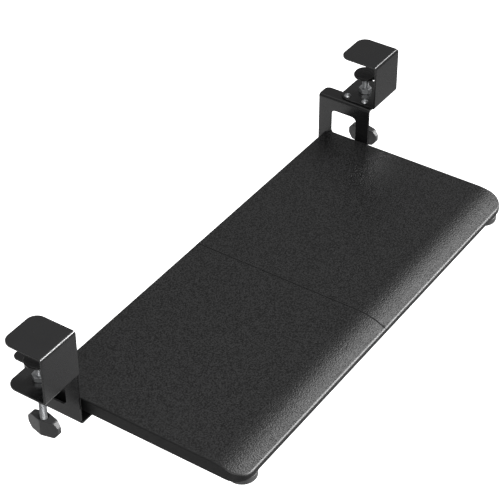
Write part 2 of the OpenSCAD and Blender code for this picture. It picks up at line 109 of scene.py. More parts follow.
class TraySizes(bpy.types.PropertyGroup):
    """Sizes of the finished pieces that no box of the frame gives"""

    roll_run: length("Roll run", "Depth over which the front edge rolls down", 46 * MM)
    roll_drop: length("Roll drop", "Height that the front edge loses over the roll", 12.5 * MM)
    front_corner: length("Front corner", "Plan radius of the boards' front corners", 24 * MM)
    rear_corner: length("Rear corner", "Plan radius of the boards' rear corners", 8 * MM)
    wrap_edge: length("Wrap edge", "Radius of the wrap over the boards' upper edges", 2.3 * MM)
    seam_edge: length("Seam edge", "Radius of the boards' upper edges at the seam", 1.1 * MM)
    under_edge: length("Under edge", "Radius of the boards' lower edges", 0.8 * MM)
    steel: length("Steel", "Thickness of the bent steel", -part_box("clamp_right")[0].y)
    bend: length("Bend", "Inside radius of the bends", 1.5 * MM)
    steel_edge: length("Steel edge", "Radius of the coated steel's edges", 0.45 * MM)
    clamp_corner: length("Clamp corner", "Plan radius of the clamps' rear corners", 15 * MM)
    hanger_gap: length("Hanger gap", "Gap from the boards' ends to the hangers' webs", 7.5 * MM)
    hanger_corner: length("Hanger corner", "Plan radius of the hangers' flanges", 8 * MM)
    band: length("Window band", "Width of the bands around the window in a hanger's web", 22.5 * MM)
    window_corner: length("Window corner", "Corner radius of that window", 8 * MM)
    rail_sheet: length("Rail sheet", "Thickness of the rails' sheet", 1.5 * MM)
    rail_bend: length("Rail bend", "Inside radius of the rails' bends", 0.5 * MM)
    rail_edge: length("Rail edge", "Radius of the rails' edges", 0.2 * MM)
    rail_slot: length("Rail slot", "Width of the slot along the rails", 18 * MM)
    thread_pitch: length("Thread pitch", "Pitch of the clamp screws' thread", 1.5 * MM)
    thread_depth: length("Thread depth", "Depth of that thread", 0.85 * MM)
    knob_tip: length("Knob end", "Thickness of the wing knobs at their ends", 6 * MM)
    knob_cut_y: length("Knob cut, along", "Length that each cut corner of the wing knobs takes", 6.4 * MM)
    knob_cut_z: length("Knob cut, up", "Height that each cut corner of the wing knobs takes", 8.2 * MM)
    knob_corner: length("Knob corner", "Radius between the sides of the wing knobs' outline", 4 * MM)
    knob_edge: length("Knob edge", "Radius of the wing knobs' edges", 0.7 * MM)
    knob_well: length("Knob well", "Depth of the well where the screw enters the knob", 4.5 * MM)
    knob_well_gap: length("Knob well gap", "Gap round the screw in that well", 1.7 * MM)
    tie_corner: length("Tie plate corner", "Corner radius of the plates under the seam", 6 * MM)
    tie_edge: length("Tie plate edge", "Radius of those plates' edges", 0.3 * MM)
    pad_front_corner: length("Pad front corner", "Front corner radius of the clamps' soft pads", 2 * MM)
    pad_rear_corner: length("Pad rear corner", "Rear corner radius of those pads", 12 * MM)
    pad_edge: length("Pad edge", "Radius of those pads' edges", 0.35 * MM)
    clamp_nut_bore: length("Clamp nut bore", "Radius of the bore in the clamps' nuts", 5.05 * MM)
    bolt_nut_bore: length("Bolt nut bore", "Radius of the bore in the hangers' nuts", 3.1 * MM)


class TrayColours(bpy.types.PropertyGroup):
    """Base colours of the finishes"""

    laminate: tint("Laminate", "Grained wrap of the boards", (0.0058, 0.0058, 0.0059))
    edging: tint("Edging", "Plain wrap round the boards' edges", (0.005, 0.005, 0.0051))
    coat: tint("Coat", "Powder coat on the steel", (0.009, 0.009, 0.0093))
    plastic: tint("Plastic", "Moulded knobs and plugs", (0.035, 0.035, 0.0356))
    rubber: tint("Rubber", "Soft pads", (0.012, 0.012, 0.012))
    stop: tint("Stops", "Round stops under the front corners", (0.05, 0.05, 0.05))
    zinc: tint("Zinc", "Plated screws, nuts and plates", (0.52, 0.53, 0.54))
    nylon: tint("Nylon", "Glides in the rails", (0.66, 0.65, 0.6))
    beech: tint("Beech", "Dowels across the seam", (0.5, 0.32, 0.17))


class StudioSettings(bpy.types.PropertyGroup):
    """Camera, floor and lights"""

    lens: number("Lens", "Focal length in millimetres on a 36 mm sensor", 125.13)
    azimuth: number("Azimuth", "Camera's turn round the tray, in degrees", -55.793)
    elevation: number("Elevation", "Camera's height over the horizon, in degrees", 37.897)
    roll: number("Roll", "Camera's roll, in degrees", -0.34)
    place: FloatVectorProperty(
        name="Place", description="Camera's place", default=(-1.54345, -1.06616, 1.36929), size=3,
        subtype="TRANSLATION", precision=5,
    )
    floor_drop: length("Floor", "Height of the gripped panel's top over the floor", 0.73)
    floor_tint: tint("Floor colour", "Pale floor", (0.9, 0.9, 0.9))
    floor_glow: number("Floor glow", "Strength of the floor's own light, which lights no piece", 0.74)
    bounce_glow: number("Bounce glow", "Strength of the light from the whole floor", 0.15)
    pool_glow: number("Pool glow", "Strength of the pool of light on the floor", 0.77)
    pool_centre: on_floor("Pool centre", "Middle of the pool of light on the floor", (0.904, 0.597))
    pool_reach: on_floor("Pool reach", "Half-length and half-width of that pool", (1.2, 0.76))
    fill_glow: number("Fill glow", "Strength of the pool of light at the tray's left end", 0.9)
    fill_centre: on_floor("Fill centre", "Middle of that pool", (-0.53, 0.73))
    fill_reach: on_floor("Fill reach", "Half-length and half-width of that pool", (0.32, 0.32))
    near_glow: number("Near glow", "Strength of the pool of light in front of the left clamp", 0.8)
    near_centre: on_floor("Near centre", "Middle of that pool", (-0.84, -0.4))
    near_reach: on_floor("Near reach", "Half-length and half-width of that pool", (0.3, 0.3))
    key_power: number("Key light", "Power of the soft light at the right in front, in watts", 23.0)
    key_spread: number("Key spread", "Angle of the key light's beam, in degrees", 40.0)
    side_power: number("Side light", "Power of the soft light at the right, in watts", 5.4)
    side_spread: number("Side spread", "Angle of the side light's beam, in degrees", 44.0)
    front_power: number("Front light", "Power of the soft light behind the camera, in watts", 13.6)
    front_spread: number("Front spread", "Angle of the front light's beam, in degrees", 90.0)
    left_bend_power: number("Left bend light", "Power of the light on the left bend, in watts", 17.5)
    right_bend_power: number("Right bend light", "Power of the light on the right bend, in watts", 5.5)
    plate_power: number("Plate light", "Power of the soft light on the left clamp's front, in watts", 0.62)
    sheen_power: number("Sheen light", "Power of the soft light on the boards' faces, in watts", 2.0)
    top_power: number("Top light", "Power of the soft light overhead, in watts", 8.0)
    sky: number("Sky", "Strength of the even light from all round", 0.26)


def unit(vectors):
    """The vectors at length one."""
    return vectors / np.linalg.norm(vectors, axis=-1, keepdims=True)


def dot(first, second):
    """Products of two lists of vectors, as a column."""
    return np.sum(first * second, axis=1, keepdims=True)


def net(rows, cols, wrap_rows=False, wrap_cols=False):
    """Quads of a grid of points that are numbered row by row, as an array of four columns."""
    index = np.arange(rows * cols).reshape(rows, cols)
    if wrap_rows:
        index = np.concatenate([index, index[:1]], axis=0)
    if wrap_cols:
        index = np.concatenate([index, index[:, :1]], axis=1)
    corners = (index[:-1, :-1], index[:-1, 1:], index[1:, 1:], index[1:, :-1])
    return np.stack(corners, axis=-1).reshape(-1, 4)


def points_of(x, y, z):
    """Three arrays of one shape as a list of points."""
    return np.stack(np.broadcast_arrays(x, y, z), axis=-1).reshape(-1, 3).astype(float)


def one_of_each(points):
    """Indices of the points without repeats, and for each point its number among those."""
    whole = np.round(points / WELD).astype(np.int64)
    _, first, same = np.unique(whole, axis=0, return_index=True, return_inverse=True)
    return first, same.reshape(-1)


def joined(patches):
    """Patches (points, quads, material numbers) as one patch."""
    starts = np.cumsum([0] + [len(points) for points, _, _ in patches])
    points = np.concatenate([points for points, _, _ in patches])
    quads = np.concatenate([quads + start for (_, quads, _), start in zip(patches, starts)])
    numbers = np.concatenate([np.broadcast_to(kind, len(quads)) for _, quads, kind in patches])
    return points, quads, numbers


def placed(patch, shift=(0, 0, 0), side=1):
    """A patch moved by shift and then, for side -1, turned round in X."""
    points, quads, numbers = patch
    return (points + np.asarray(shift, float)) * (side, 1, 1), quads, numbers


def make_piece(name, patches, finishes, sharp_angle=SHARP_ANGLE):
    """A mesh object of welded patches, closed at its seams and poles, with its faces turned outwards.

    A patch's material numbers count the finishes, which are given by name.
    """
    points, quads, numbers = joined(patches)
    mesh = bpy.data.meshes.new(name)
    mesh.from_pydata(points.tolist(), [], quads.tolist())
    mesh.polygons.foreach_set("material_index", numbers.astype(np.int32))
    for finish in finishes:
        mesh.materials.append(finish_of(finish))
    shape = bmesh.new()
    shape.from_mesh(mesh)
    bmesh.ops.remove_doubles(shape, verts=shape.verts, dist=WELD)
    bmesh.ops.dissolve_degenerate(shape, edges=shape.edges, dist=WELD)
    bmesh.ops.recalc_face_normals(shape, faces=shape.faces)
    shape.to_mesh(mesh)
    shape.free()
    mesh.shade_smooth()
    mesh.set_sharp_from_angle(angle=math.radians(sharp_angle))
    piece = bpy.data.objects.new(name, mesh)
    bpy.context.scene.collection.objects.link(piece)
    return piece


def stand_for(piece, node):
    """Shows a piece in place of a node of the frame, on its body and with even shading."""
    even = piece.modifiers.new("even_shading", "WEIGHTED_NORMAL")
    even.keep_sharp = True
    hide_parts(node)
    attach(piece, BODY_OF[node])


def dress(node, finish):
    """Gives a node of the frame its finish."""
    slots = frame["nodes"][node].data.materials
    slots.clear()
    slots.append(finish_of(finish))


def islands(node):
    """Lowest and highest corners of each separate solid in a node, as two arrays."""
    mesh = frame["nodes"][node].data
    points = np.zeros(len(mesh.vertices) * 3)
    mesh.vertices.foreach_get("co", points)
    edges = np.zeros(len(mesh.edges) * 2, np.int32)
    mesh.edges.foreach_get("vertices", edges)
    _, same = np.unique(np.round(points.reshape(-1, 3), 6), axis=0, return_inverse=True)
    edges = same.reshape(-1)[edges].reshape(-1, 2)
    label = np.arange(same.max() + 1)
    settled = False
    while not settled:
        before = label.copy()
        np.minimum.at(label, edges[:, 0], label[edges[:, 1]])
        np.minimum.at(label, edges[:, 1], label[edges[:, 0]])
        label = label[label]
        settled = np.array_equal(before, label)
    solid = label[same.reshape(-1)]
    places = points.reshape(-1, 3)
    found = [places[solid == one] for one in np.unique(solid)]
    return np.array([p.min(axis=0) for p in found]), np.array([p.max(axis=0) for p in found])


def vertex_normals(points, quads):
    """Unit normals of a net's points: the sum of the crossed diagonals of the quads around each."""
    across = np.cross(points[quads[:, 2]] - points[quads[:, 0]], points[quads[:, 3]] - points[quads[:, 1]])
    normals = np.zeros_like(points)
    for corner in range(4):
        np.add.at(normals, quads[:, corner], across)
    return unit(normals)


def open_edges(quads):
    """Edges that only one quad of a net has, each running the way that its quad does."""
    edges = np.stack([quads, np.roll(quads, -1, axis=1)], axis=-1).reshape(-1, 2)
    edges = edges[edges[:, 0] != edges[:, 1]]
    _, first, count = np.unique(np.sort(edges, axis=1), axis=0, return_index=True, return_counts=True)
    return edges[first[count == 1]]


def slab(top, bottom, quads, top_edge, bottom_edge, through=None, kinds=(0, 0, 0, 0)):
    """A plate with rounded rims: its two faces, the band round them, and a wall inside the band.

    Both faces are over one net, and stop an edge radius short of the plate's outline. Along each open
    edge of the net the band is a quarter turn a from each face, p = face + edge (sin a * out +
    (1 - cos a) * through), with a straight wall between the two turns. Where two runs of the rim meet,
    the band reaches each run's own edge radius out from it: mean (l + m) / (1 + c) + skew (l - m) /
    (1 - c), where l and m point out from the two runs, c = l . m, and mean and skew are half the sum
    and half the difference of the two radii. A run's radius is the larger of its two ends'. kinds are
    the material numbers of the top, of its turn, of the wall and of the bottom.
    """
    through = unit(bottom - top) if through is None else np.broadcast_to(through, top.shape)
    first, same = one_of_each(top)
    over, under, through = top[first], bottom[first], through[first]
    over_normal = vertex_normals(over, same[quads])
    if np.mean(np.sum(over_normal * through, axis=1)) > 0:
        quads = quads[:, ::-1]
        over_normal = -over_normal
    under_normal = vertex_normals(under, same[quads])
    ends = open_edges(same[quads])
    run = unit(over[ends[:, 1]] - over[ends[:, 0]])
    leaving, arriving = np.zeros_like(over), np.zeros_like(over)
    leaving[ends[:, 0]] = unit(np.cross(run, -through[ends[:, 0]]))
    arriving[ends[:, 1]] = unit(np.cross(run, -through[ends[:, 1]]))
    ring, rim = np.unique(ends, return_inverse=True)
    rim = rim.reshape(-1, 2)
    leaving, arriving, down = leaving[ring], arriving[ring], through[ring]
    likeness = dot(leaving, arriving)
    out = (leaving + arriving) / (1 + likeness)
    aside = (leaving - arriving) / np.maximum(1 - likeness, WELD)

    def turn(face, normal, edge, inward):
        edge = np.max(np.broadcast_to(edge, len(top))[first][ends], axis=1)
        after, before = np.zeros(len(over)), np.zeros(len(over))
        after[ends[:, 0]] = edge
        before[ends[:, 1]] = edge
        mean, skew = (after + before)[ring, None] / 2, (after - before)[ring, None] / 2
        reach = mean * out + skew * aside
        along = reach - inward * dot(reach, normal) / dot(inward, normal)
        a = np.linspace(0, np.pi / 2, RIM_STEPS + 1).reshape(-1, 1, 1)
        return face + np.sin(a) * along + (1 - np.cos(a)) * mean * inward

    upper = turn(over[ring], over_normal[ring], top_edge, down)
    lower = turn(under[ring], under_normal[ring], bottom_edge, -down)[::-1]
    rings = np.concatenate([upper, lower])
    levels = np.arange(len(rings) - 1)[:, None] * len(ring)
    start, end = levels + rim[:, 0], levels + rim[:, 1]
    wall = np.stack([start, end, end + len(ring), start + len(ring)], axis=-1)
    sort = np.where(np.arange(len(rings) - 1) < RIM_STEPS, kinds[1], kinds[2])
    sort = np.broadcast_to(sort[:, None], wall.shape[:2]).reshape(-1)
    faces = [(top, quads, kinds[0]), (bottom, quads, kinds[3])]
    band = (rings.reshape(-1, 3), wall.reshape(-1, 4), sort)
    inner = np.concatenate([over[ring], under[ring]])
    inner_wall = np.concatenate([rim, rim[:, ::-1] + len(ring)], axis=1)
    return faces, band, (inner, inner_wall, kinds[2])


def plate(*args, **settings):
    """The patches of a slab in one piece."""
    faces, band, _ = slab(*args, **settings)
    return [*faces, band]


def bent_line(stations, knots, headings):
    """Place and heading on a line of straight legs and arcs in a plane.

    The heading is piecewise linear in the length along the line, and the place is the running sum
    of (cos heading, sin heading).
    """
    fine_steps = 20000
    fine = np.linspace(knots[0], knots[-1], fine_steps + 1)
    middle = np.interp((fine[1:] + fine[:-1]) / 2, knots, headings)
    step = fine[1] - fine[0]
    first = np.concatenate([[0], np.cumsum(np.cos(middle) * step)])
    second = np.concatenate([[0], np.cumsum(np.sin(middle) * step)])
    heading = np.interp(stations, knots, headings)
    return np.interp(stations, fine, first), np.interp(stations, fine, second), heading


def strip_rows(total, half, start_corner, end_corner, inset, between):
    """Stations along a strip with rounded ends, and its half-width at each, both inset from the outline.

    Within a corner of radius r the station is r (1 - cos a) and the half-width half - r + r sin a.
    """
    a = np.linspace(0, np.pi / 2, CORNER_STEPS)
    start, end = start_corner - inset, end_corner - inset
    first = inset + start * (1 - np.cos(a))
    last = total - inset - end * (1 - np.cos(a))
    middle = between[(between > first[-1] + WELD) & (between < last[-1] - WELD)]
    stations = np.concatenate([first, middle, last[::-1]])
    widths = np.concatenate([
        half - inset - start * (1 - np.sin(a)),
        np.full(len(middle), half - inset),
        (half - inset - end * (1 - np.sin(a)))[::-1],
    ])
    return stations, widths


def strip_normals(heading, axis, count):
    """Normals of a strip bent along X or Y, count to a row: sin heading on that axis, -cos heading on Z."""
    normals = np.zeros((len(heading), 3))
    normals[:, axis] = np.sin(heading)
    normals[:, 2] = -np.cos(heading)
    return np.repeat(normals, count, axis=0)


def columns(rows):
    """Radii and heights of a turned profile's rows (r, z), each as a column."""
    return np.array(rows, float).T[..., None]


def angles(steps):
    """Angles spread evenly round a full turn."""
    return np.linspace(0, 2 * np.pi, steps, endpoint=False)


def rings_patch(radii, heights, a, closed=False):
    """Rings of points (r cos a, r sin a, z) about the Z axis, the last joined to the first if closed."""
    points = points_of(radii * np.cos(a), radii * np.sin(a), heights)
    return points, net(len(radii), len(a), closed, True), 0


def turned(rows, around=AROUND):
    """A profile turned about the Z axis, for the rows (r, z)."""
    return rings_patch(*columns(rows), angles(around))


def quarter(centre_r, centre_z, radius, start, end, steps=6):
    """Rows (r, z) along an arc from start to end degrees, for a turned profile."""
    a = np.radians(np.linspace(start, end, steps))
    return list(zip(centre_r + radius * np.cos(a), centre_z + radius * np.sin(a)))


def smooth_step(x):
    """0 below 0, 1 above 1 and 3 x x - 2 x x x between them."""
    x = np.clip(x, 0, 1)
    return x * x * (3 - 2 * x)


def screw_patch(rows, recess_rows, head_r, depth, hexagon=False):
    """A turned screw whose first rows, the crown of its head, carry a drive recess.

    On the crown, h = h0 + depth * s, where s is 1 inside the drive's outline: a cross, where the
    smaller of |x| and |y| is under a sixth of the head's radius, or a hexagon.
    """
    a = angles(AROUND)
    radii, heights = columns(rows)
    x, y = abs(radii * np.cos(a)), abs(radii * np.sin(a))
    soft, flat, arm_width, arm_reach = head_r * np.array([0.06, 0.46, 0.17, 0.62])
    if hexagon:
        reach = radii * np.cos((a % (np.pi / 3)) - np.pi / 6)
        inside = smooth_step((flat - reach) / soft)
    else:
        arm = smooth_step((arm_width - np.minimum(x, y)) / soft)
        inside = arm * smooth_step((arm_reach - np.maximum(x, y)) / soft)
    inside[recess_rows:] = 0
    return rings_patch(radii, heights + depth * inside, a)


def wood_screw(size):
    """A pan-head wood screw in a box of that size, from its crown at z = 0 up to its point."""
    head_r, head_h, total = size[0] / 2, 2.2 * MM, size[2]
    shank_r, point, tip_r = 2 * MM, 3 * MM, 0.3 * MM
    crown_r, crown_h, recess = head_r * 0.9, head_h * 0.2, head_h * 0.75
    rim_r, rim_h = head_r * 0.28, head_h * 0.55
    crown = [(crown_r * f, crown_h * f * f) for f in np.linspace(0, 1, CROWN_ROWS)]
    rows = crown + quarter(head_r - rim_r, rim_h, rim_r, -55, 0)
    rows += [(head_r, head_h), (shank_r, head_h), (shank_r, total - point), (tip_r, total), (0, total)]
    return screw_patch(rows, len(crown), head_r, recess)


def hexagon_nut(size, bore):
    """A hexagon nut about the Z axis from z = 0, its radius the least of a hexagon's and two cones'."""
    flat, height = size[1], size[2]
    chamfer_r, chamfer_h, chamfer_angle = flat * 0.475, flat * 0.1, math.radians(60)
    a = angles(12 * 6)
    corner = flat / 2 / np.cos((a % (np.pi / 3)) - np.pi / 6)
    zone = np.linspace(0, chamfer_h, 7)
    z = np.concatenate([zone, (height - zone)[::-1]])[:, None]
    cone = chamfer_r + np.minimum(z, height - z) * math.tan(chamfer_angle)
    bore_row = np.full((1, len(a)), bore)
    radii = np.concatenate([bore_row, np.minimum(corner, cone), bore_row])
    z = np.concatenate([[[0]], z, [[height]]])
    return rings_patch(radii, z, a, closed=True)


def threaded_rod(radius, low, high, pitch, depth):
    """A right-hand threaded rod: r = R - depth * w, where w = (1 + cos(2 pi z / pitch - a)) / 2.

    Both ends taper down to the root over one pitch.
    """
    steps, rows_a_turn = 40, 12
    a = angles(steps)
    z = np.linspace(low, high, int((high - low) / pitch * rows_a_turn) + 1)[:, None]
    wave = (1 + np.cos(2 * np.pi * z / pitch - a)) / 2
    taper = np.clip(1 - np.minimum(z - low, high - z) / pitch, 0, 1)
    radii = radius - depth * np.maximum(wave, taper)
    middle = np.zeros((1, steps))
    radii = np.concatenate([middle, radii, middle])
    return rings_patch(radii, np.concatenate([z[:1], z, z[-1:]]), a)


class Finish:
    """A procedural material: a Principled shader with its node tree, on Object coordinates."""

    def __init__(self, name, colour, roughness, metallic=0.0):
        self.material = bpy.data.materials.new(name)
        self.material.use_nodes = True
        self.material.diffuse_color = (*colour, 1)
        self.tree = self.material.node_tree
        self.shader = self.tree.nodes["Principled BSDF"]
        self.set("Base Color", (*colour, 1))
        self.set("Roughness", roughness)
        self.set("Metallic", metallic)
        self.colour = colour
        self.where = self.node("ShaderNodeTexCoord").outputs["Object"]

    def set(self, socket, value):
        """Puts a constant on one of the shader's own sockets."""
        self.shader.inputs[socket].default_value = value

    def link(self, value, socket):
        """Links a value to one of the shader's own sockets."""
        self.tree.links.new(value, self.shader.inputs[socket])

    def node(self, kind, links=(), values=(), **settings):
        """A new node with its settings, socket values and incoming links."""
        made = self.tree.nodes.new(kind)
        for key, value in settings.items():
            setattr(made, key, value)
        for socket, value in dict(values).items():
            made.inputs[socket].default_value = value
        for socket, source in dict(links).items():
            self.tree.links.new(source, made.inputs[socket])
        return made

    def noise(self, scale, detail=2.0, stretch=(1, 1, 1)):
        """Noise of that many waves a metre, drawn out along an axis by a small stretch there."""
        turned_by = self.node("ShaderNodeMapping", {"Vector": self.where}, {"Scale": stretch})
        links = {"Vector": turned_by.outputs["Vector"]}
        return self.node("ShaderNodeTexNoise", links, {"Scale": scale, "Detail": detail}).outputs["Fac"]

    def cells(self, scale):
        """Distance to the nearest of scattered points, that many a metre."""
        links = {"Vector": self.where}
        made = self.node("ShaderNodeTexVoronoi", links, {"Scale": scale}, feature="F1")
        return made.outputs["Distance"]

    def ranged(self, source, low, high, source_low=0.3, source_high=0.7):
        """A pattern brought from one range of values to another."""
        values = {"From Min": source_low, "From Max": source_high, "To Min": low, "To Max": high}
        return self.node("ShaderNodeMapRange", {"Value": source}, values).outputs["Result"]

    def added(self, first, second, share):
        """first + share * second."""
        links = {0: second, 2: first}
        return self.node("ShaderNodeMath", links, {1: share}, operation="MULTIPLY_ADD").outputs["Value"]

    def shade(self, pattern, darker, lighter):
        """Lets the base colour run from darker to lighter times itself with a pattern."""
        mix = self.node("ShaderNodeMix", {"Factor": self.ranged(pattern, 0, 1)}, data_type="RGBA")
        for socket, share in zip([s for s in mix.inputs if s.type == "RGBA"], (darker, lighter)):
            socket.default_value = (*(c * share for c in self.colour), 1)
        self.link(next(s for s in mix.outputs if s.type == "RGBA"), "Base Color")

    def roughen(self, pattern, low, high):
        """Lets the roughness run from low to high with a pattern."""
        self.link(self.ranged(pattern, low, high), "Roughness")

    def bump(self, height, strength, distance):
        """Raises the surface by a pattern, as a bump."""
        values = {"Strength": strength, "Distance": distance}
        self.link(self.node("ShaderNodeBump", {"Height": height}, values).outputs["Normal"], "Normal")


def grained_laminate(colours):
    """Black wrap with a leather grain: pebbles about 2 mm across, and creases as fine over them. Its base colour
    carries painted shade in the low creases and painted highlight on the raised grain.
    """
    finish = Finish("grained_laminate", colours.laminate, roughness=0.42)
    pebbles = finish.cells(560)
    creases = finish.noise(520, detail=0)
    patches = finish.noise(35, detail=2)
    grain = finish.added(pebbles, creases, 2.0)
    # painted shade and highlight: the base colour runs dark in the grain's low creases and light on its raised
    # parts
    finish.shade(creases, darker=0, lighter=4.5)
    rough = finish.added(finish.ranged(patches, 0.28, 0.31), finish.ranged(creases, 0, 1), 0.05)
    finish.link(rough, "Roughness")
    finish.bump(grain, strength=1.0, distance=0.16 * MM)
    return finish.material


def drawn_edge(colours):
    """The wrap where it is drawn over the upper edges, with its grain stretched smooth."""
    finish = Finish("drawn_edge", colours.edging, roughness=0.44)
    finish.set("Specular IOR Level", 0.48)
    stretch = finish.noise(500, detail=3)
    finish.shade(stretch, darker=0.85, lighter=1.15)
    finish.roughen(stretch, 0.41, 0.47)
    finish.bump(stretch, strength=0.05, distance=0.1 * MM)
    return finish.material


def plain_edging(colours):
    """A plain matt wrap round the edges and under the boards."""
    finish = Finish("plain_edging", colours.edging, roughness=0.5)
    finish.set("Specular IOR Level", 0.35)
    mottle = finish.noise(140, detail=3)
    finish.shade(mottle, darker=0.9, lighter=1.1)
    finish.roughen(mottle, 0.46, 0.54)
    finish.bump(finish.noise(1800, detail=2), strength=0.12, distance=0.08 * MM)
    return finish.material


def powder_coat(colours):
    """Satin black powder coat: a shallow orange peel with fine specks."""
    finish = Finish("powder_coat", colours.coat, roughness=0.26)
    peel = finish.noise(850, detail=2)
    specks = finish.noise(4200, detail=1)
    finish.shade(specks, darker=0.85, lighter=1.2)
    finish.roughen(finish.noise(60, detail=3), 0.24, 0.28)
    finish.bump(finish.added(peel, specks, 0.35), strength=0.05, distance=0.1 * MM)
    return finish.material


def moulded_plastic(colours):
    """Black moulded plastic with a fine spark-eroded texture."""
    finish = Finish("moulded_plastic", colours.plastic, roughness=0.45)
    texture = finish.noise(2600, detail=3)
    finish.shade(finish.noise(300, detail=2), darker=0.85, lighter=1.15)
    finish.roughen(texture, 0.42, 0.52)
    finish.bump(texture, strength=0.2, distance=0.1 * MM)
    return finish.material


def matt_rubber(colours):
    """Matt black rubber with a dusty bloom."""
    finish = Finish("matt_rubber", colours.rubber, roughness=0.7)
    bloom = finish.noise(120, detail=4)
    finish.shade(bloom, darker=0.8, lighter=1.3)
    finish.roughen(bloom, 0.6, 0.78)
    finish.bump(finish.noise(2000, detail=2), strength=0.15, distance=0.08 * MM)
    return finish.material


def grey_rubber(colours):
    """Dark grey moulded rubber with a faint sheen."""
    finish = Finish("grey_rubber", colours.stop, roughness=0.5)
    bloom = finish.noise(150, detail=4)
    finish.shade(bloom, darker=0.85, lighter=1.2)
    finish.roughen(bloom, 0.44, 0.56)
    finish.bump(finish.noise(2000, detail=2), strength=0.12, distance=0.08 * MM)
    return finish.material


def zinc_plate(colours):
    """Bright zinc with faint drawn streaks and a grainy bloom."""
    finish = Finish("zinc_plate", colours.zinc, roughness=0.43, metallic=1.0)
    streaks = finish.noise(900, detail=3, stretch=(1, 1, 0.15))
    finish.shade(finish.noise(260, detail=4), darker=0.82, lighter=1.08)
    finish.roughen(streaks, 0.36, 0.5)
    finish.bump(streaks, strength=0.08, distance=0.05 * MM)
    return finish.material


def natural_nylon(colours):
    """Milky natural nylon."""
    finish = Finish("natural_nylon", colours.nylon, roughness=0.42)
    cloud = finish.noise(90, detail=3)
    finish.set("Subsurface Weight", 0.15)
    finish.set("Subsurface Scale", 2 * MM)
    finish.shade(cloud, darker=0.92, lighter=1.05)
    finish.roughen(cloud, 0.38, 0.48)
    finish.bump(finish.noise(1500, detail=2), strength=0.08, distance=0.05 * MM)
    return finish.material


def plain_beech(colours):
    """Beech with its grain along X."""
    finish = Finish("plain_beech", colours.beech, roughness=0.6)
    grain = finish.noise(900, detail=4, stretch=(0.06, 1, 1))
    finish.shade(grain, darker=0.7, lighter=1.2)
    finish.roughen(grain, 0.55, 0.7)
    finish.bump(grain, strength=0.2, distance=0.1 * MM)
    return finish.material


FINISHES = {}


def finish_of(name):
    """The material of that name, made once."""
    makers = (
        grained_laminate, drawn_edge, plain_edging, powder_coat, moulded_plastic,
        matt_rubber, grey_rubber, zinc_plate, natural_nylon, plain_beech,
    )
    if name not in FINISHES:
        maker = next(m for m in makers if m.__name__ == name)
        FINISHES[name] = maker(bpy.context.scene.tray_colours)
    return FINISHES[name]


def board_net(sizes, inset, seam_x):
    """Plan points of the right-hand board, inset from its outline: rows front to rear, seam to end."""
    low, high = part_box("tray_board_right")
    depth, end = high.y - low.y, high.x
    roll_rows, flat_rows, cols = 36, 40, 41
    roll = np.linspace(0, sizes.roll_run, roll_rows)[:-1]
    runs = np.concatenate([roll, np.linspace(sizes.roll_run, depth, flat_rows)])
    stations, widths = strip_rows(depth, end, sizes.front_corner, sizes.rear_corner, inset, runs)
    u = np.linspace(0, 1, cols)
    x = seam_x + (widths[:, None] - seam_x) * u
    y = np.broadcast_to(low.y + stations[:, None], x.shape)
    return x, y


def board_patches(sizes):
    """The right-hand board: a flat top that rolls down in front on a circle, with wrapped edges.

    At d behind the front, within the roll's run, z = top - R + sqrt(R R - (run - d)^2), where
    R = (run^2 + drop^2) / (2 drop). The seam between the boards narrows downwards and is closed below.
    """
    low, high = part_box("tray_board_right")
    run, drop = sizes.roll_run, sizes.roll_drop
    radius = (run * run + drop * drop) / (2 * drop)
    x, y = board_net(sizes, sizes.wrap_edge, low.x + sizes.seam_edge)
    behind = np.maximum(run - (y - low.y), 0)
    top = points_of(x, y, high.z - radius + np.sqrt(radius * radius - behind * behind))
    bottom = points_of(*board_net(sizes, sizes.under_edge, sizes.under_edge), low.z)
    on_seam = np.zeros(x.shape, bool)
    on_seam[:, 0] = True
    top_edge = np.where(on_seam.reshape(-1), sizes.seam_edge, sizes.wrap_edge)
    edges = (top_edge, sizes.under_edge)
    faces, band, inner = slab(top, bottom, net(*x.shape), *edges, DOWN, kinds=(0, 1, 2, 2))
    return [*faces, inner], [band, inner]


def sheet_patches(mid, normal, quads, thickness, edge):
    """A sheet of even thickness about its middle surface, with rounded edges."""
    half = normal * thickness / 2
    return plate(mid + half, mid - half, quads, edge, edge)


def clamp_patches(sizes):
    """The right-hand clamp: a strip bent to a C, carried along its middle line from top plate to jaw."""
    low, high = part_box("clamp_right")
    middle_r = sizes.bend + sizes.steel / 2
    leg = high.y - low.y - sizes.steel / 2 - middle_r
    front = high.z - low.z - sizes.steel - 2 * middle_r
    arc = middle_r * math.pi / 2
    knots = np.cumsum([0, leg, arc, front, arc, leg])
    headings = np.pi * np.array([1, 1, 1.5, 1.5, 2, 2])
    rows, cols = 9, 17
    legs = [np.linspace(*knots[i:i + 2], rows)[:-1] for i in range(len(knots) - 1)]
    between = np.concatenate([*legs, knots[-1:]])
    half, corner = (high.x - low.x) / 2, sizes.clamp_corner
    stations, widths = strip_rows(knots[-1], half, corner, corner, sizes.steel_edge, between)
    along, up, heading = bent_line(stations, knots, headings)
    u = np.linspace(-1, 1, cols)
    mid = points_of(
        (low.x + high.x) / 2 + widths[:, None] * u,
        (high.y + along)[:, None], (high.z - sizes.steel / 2 + up)[:, None],
    )
    normal = strip_normals(heading, 1, cols)
    return sheet_patches(mid, normal, net(len(stations), cols), sizes.steel, sizes.steel_edge)


def rounded_side(half_y, half_z, radius, steps, straight):
    """The lower side of a rounded rectangle, from the middle of one corner to the middle of the next."""
    a = np.radians(np.linspace(225, 270, steps + 1))
    arc_y, arc_z = radius * np.cos(a), radius * np.sin(a)
    line = np.linspace(-half_y + radius, half_y - radius, straight + 1)[1:-1]
    y = np.concatenate([arc_y - half_y + radius, line, (half_y - radius - arc_y)[::-1]])
    z = np.concatenate([arc_z, np.full(len(line), -radius), arc_z[::-1]]) - half_z + radius
    return y, z


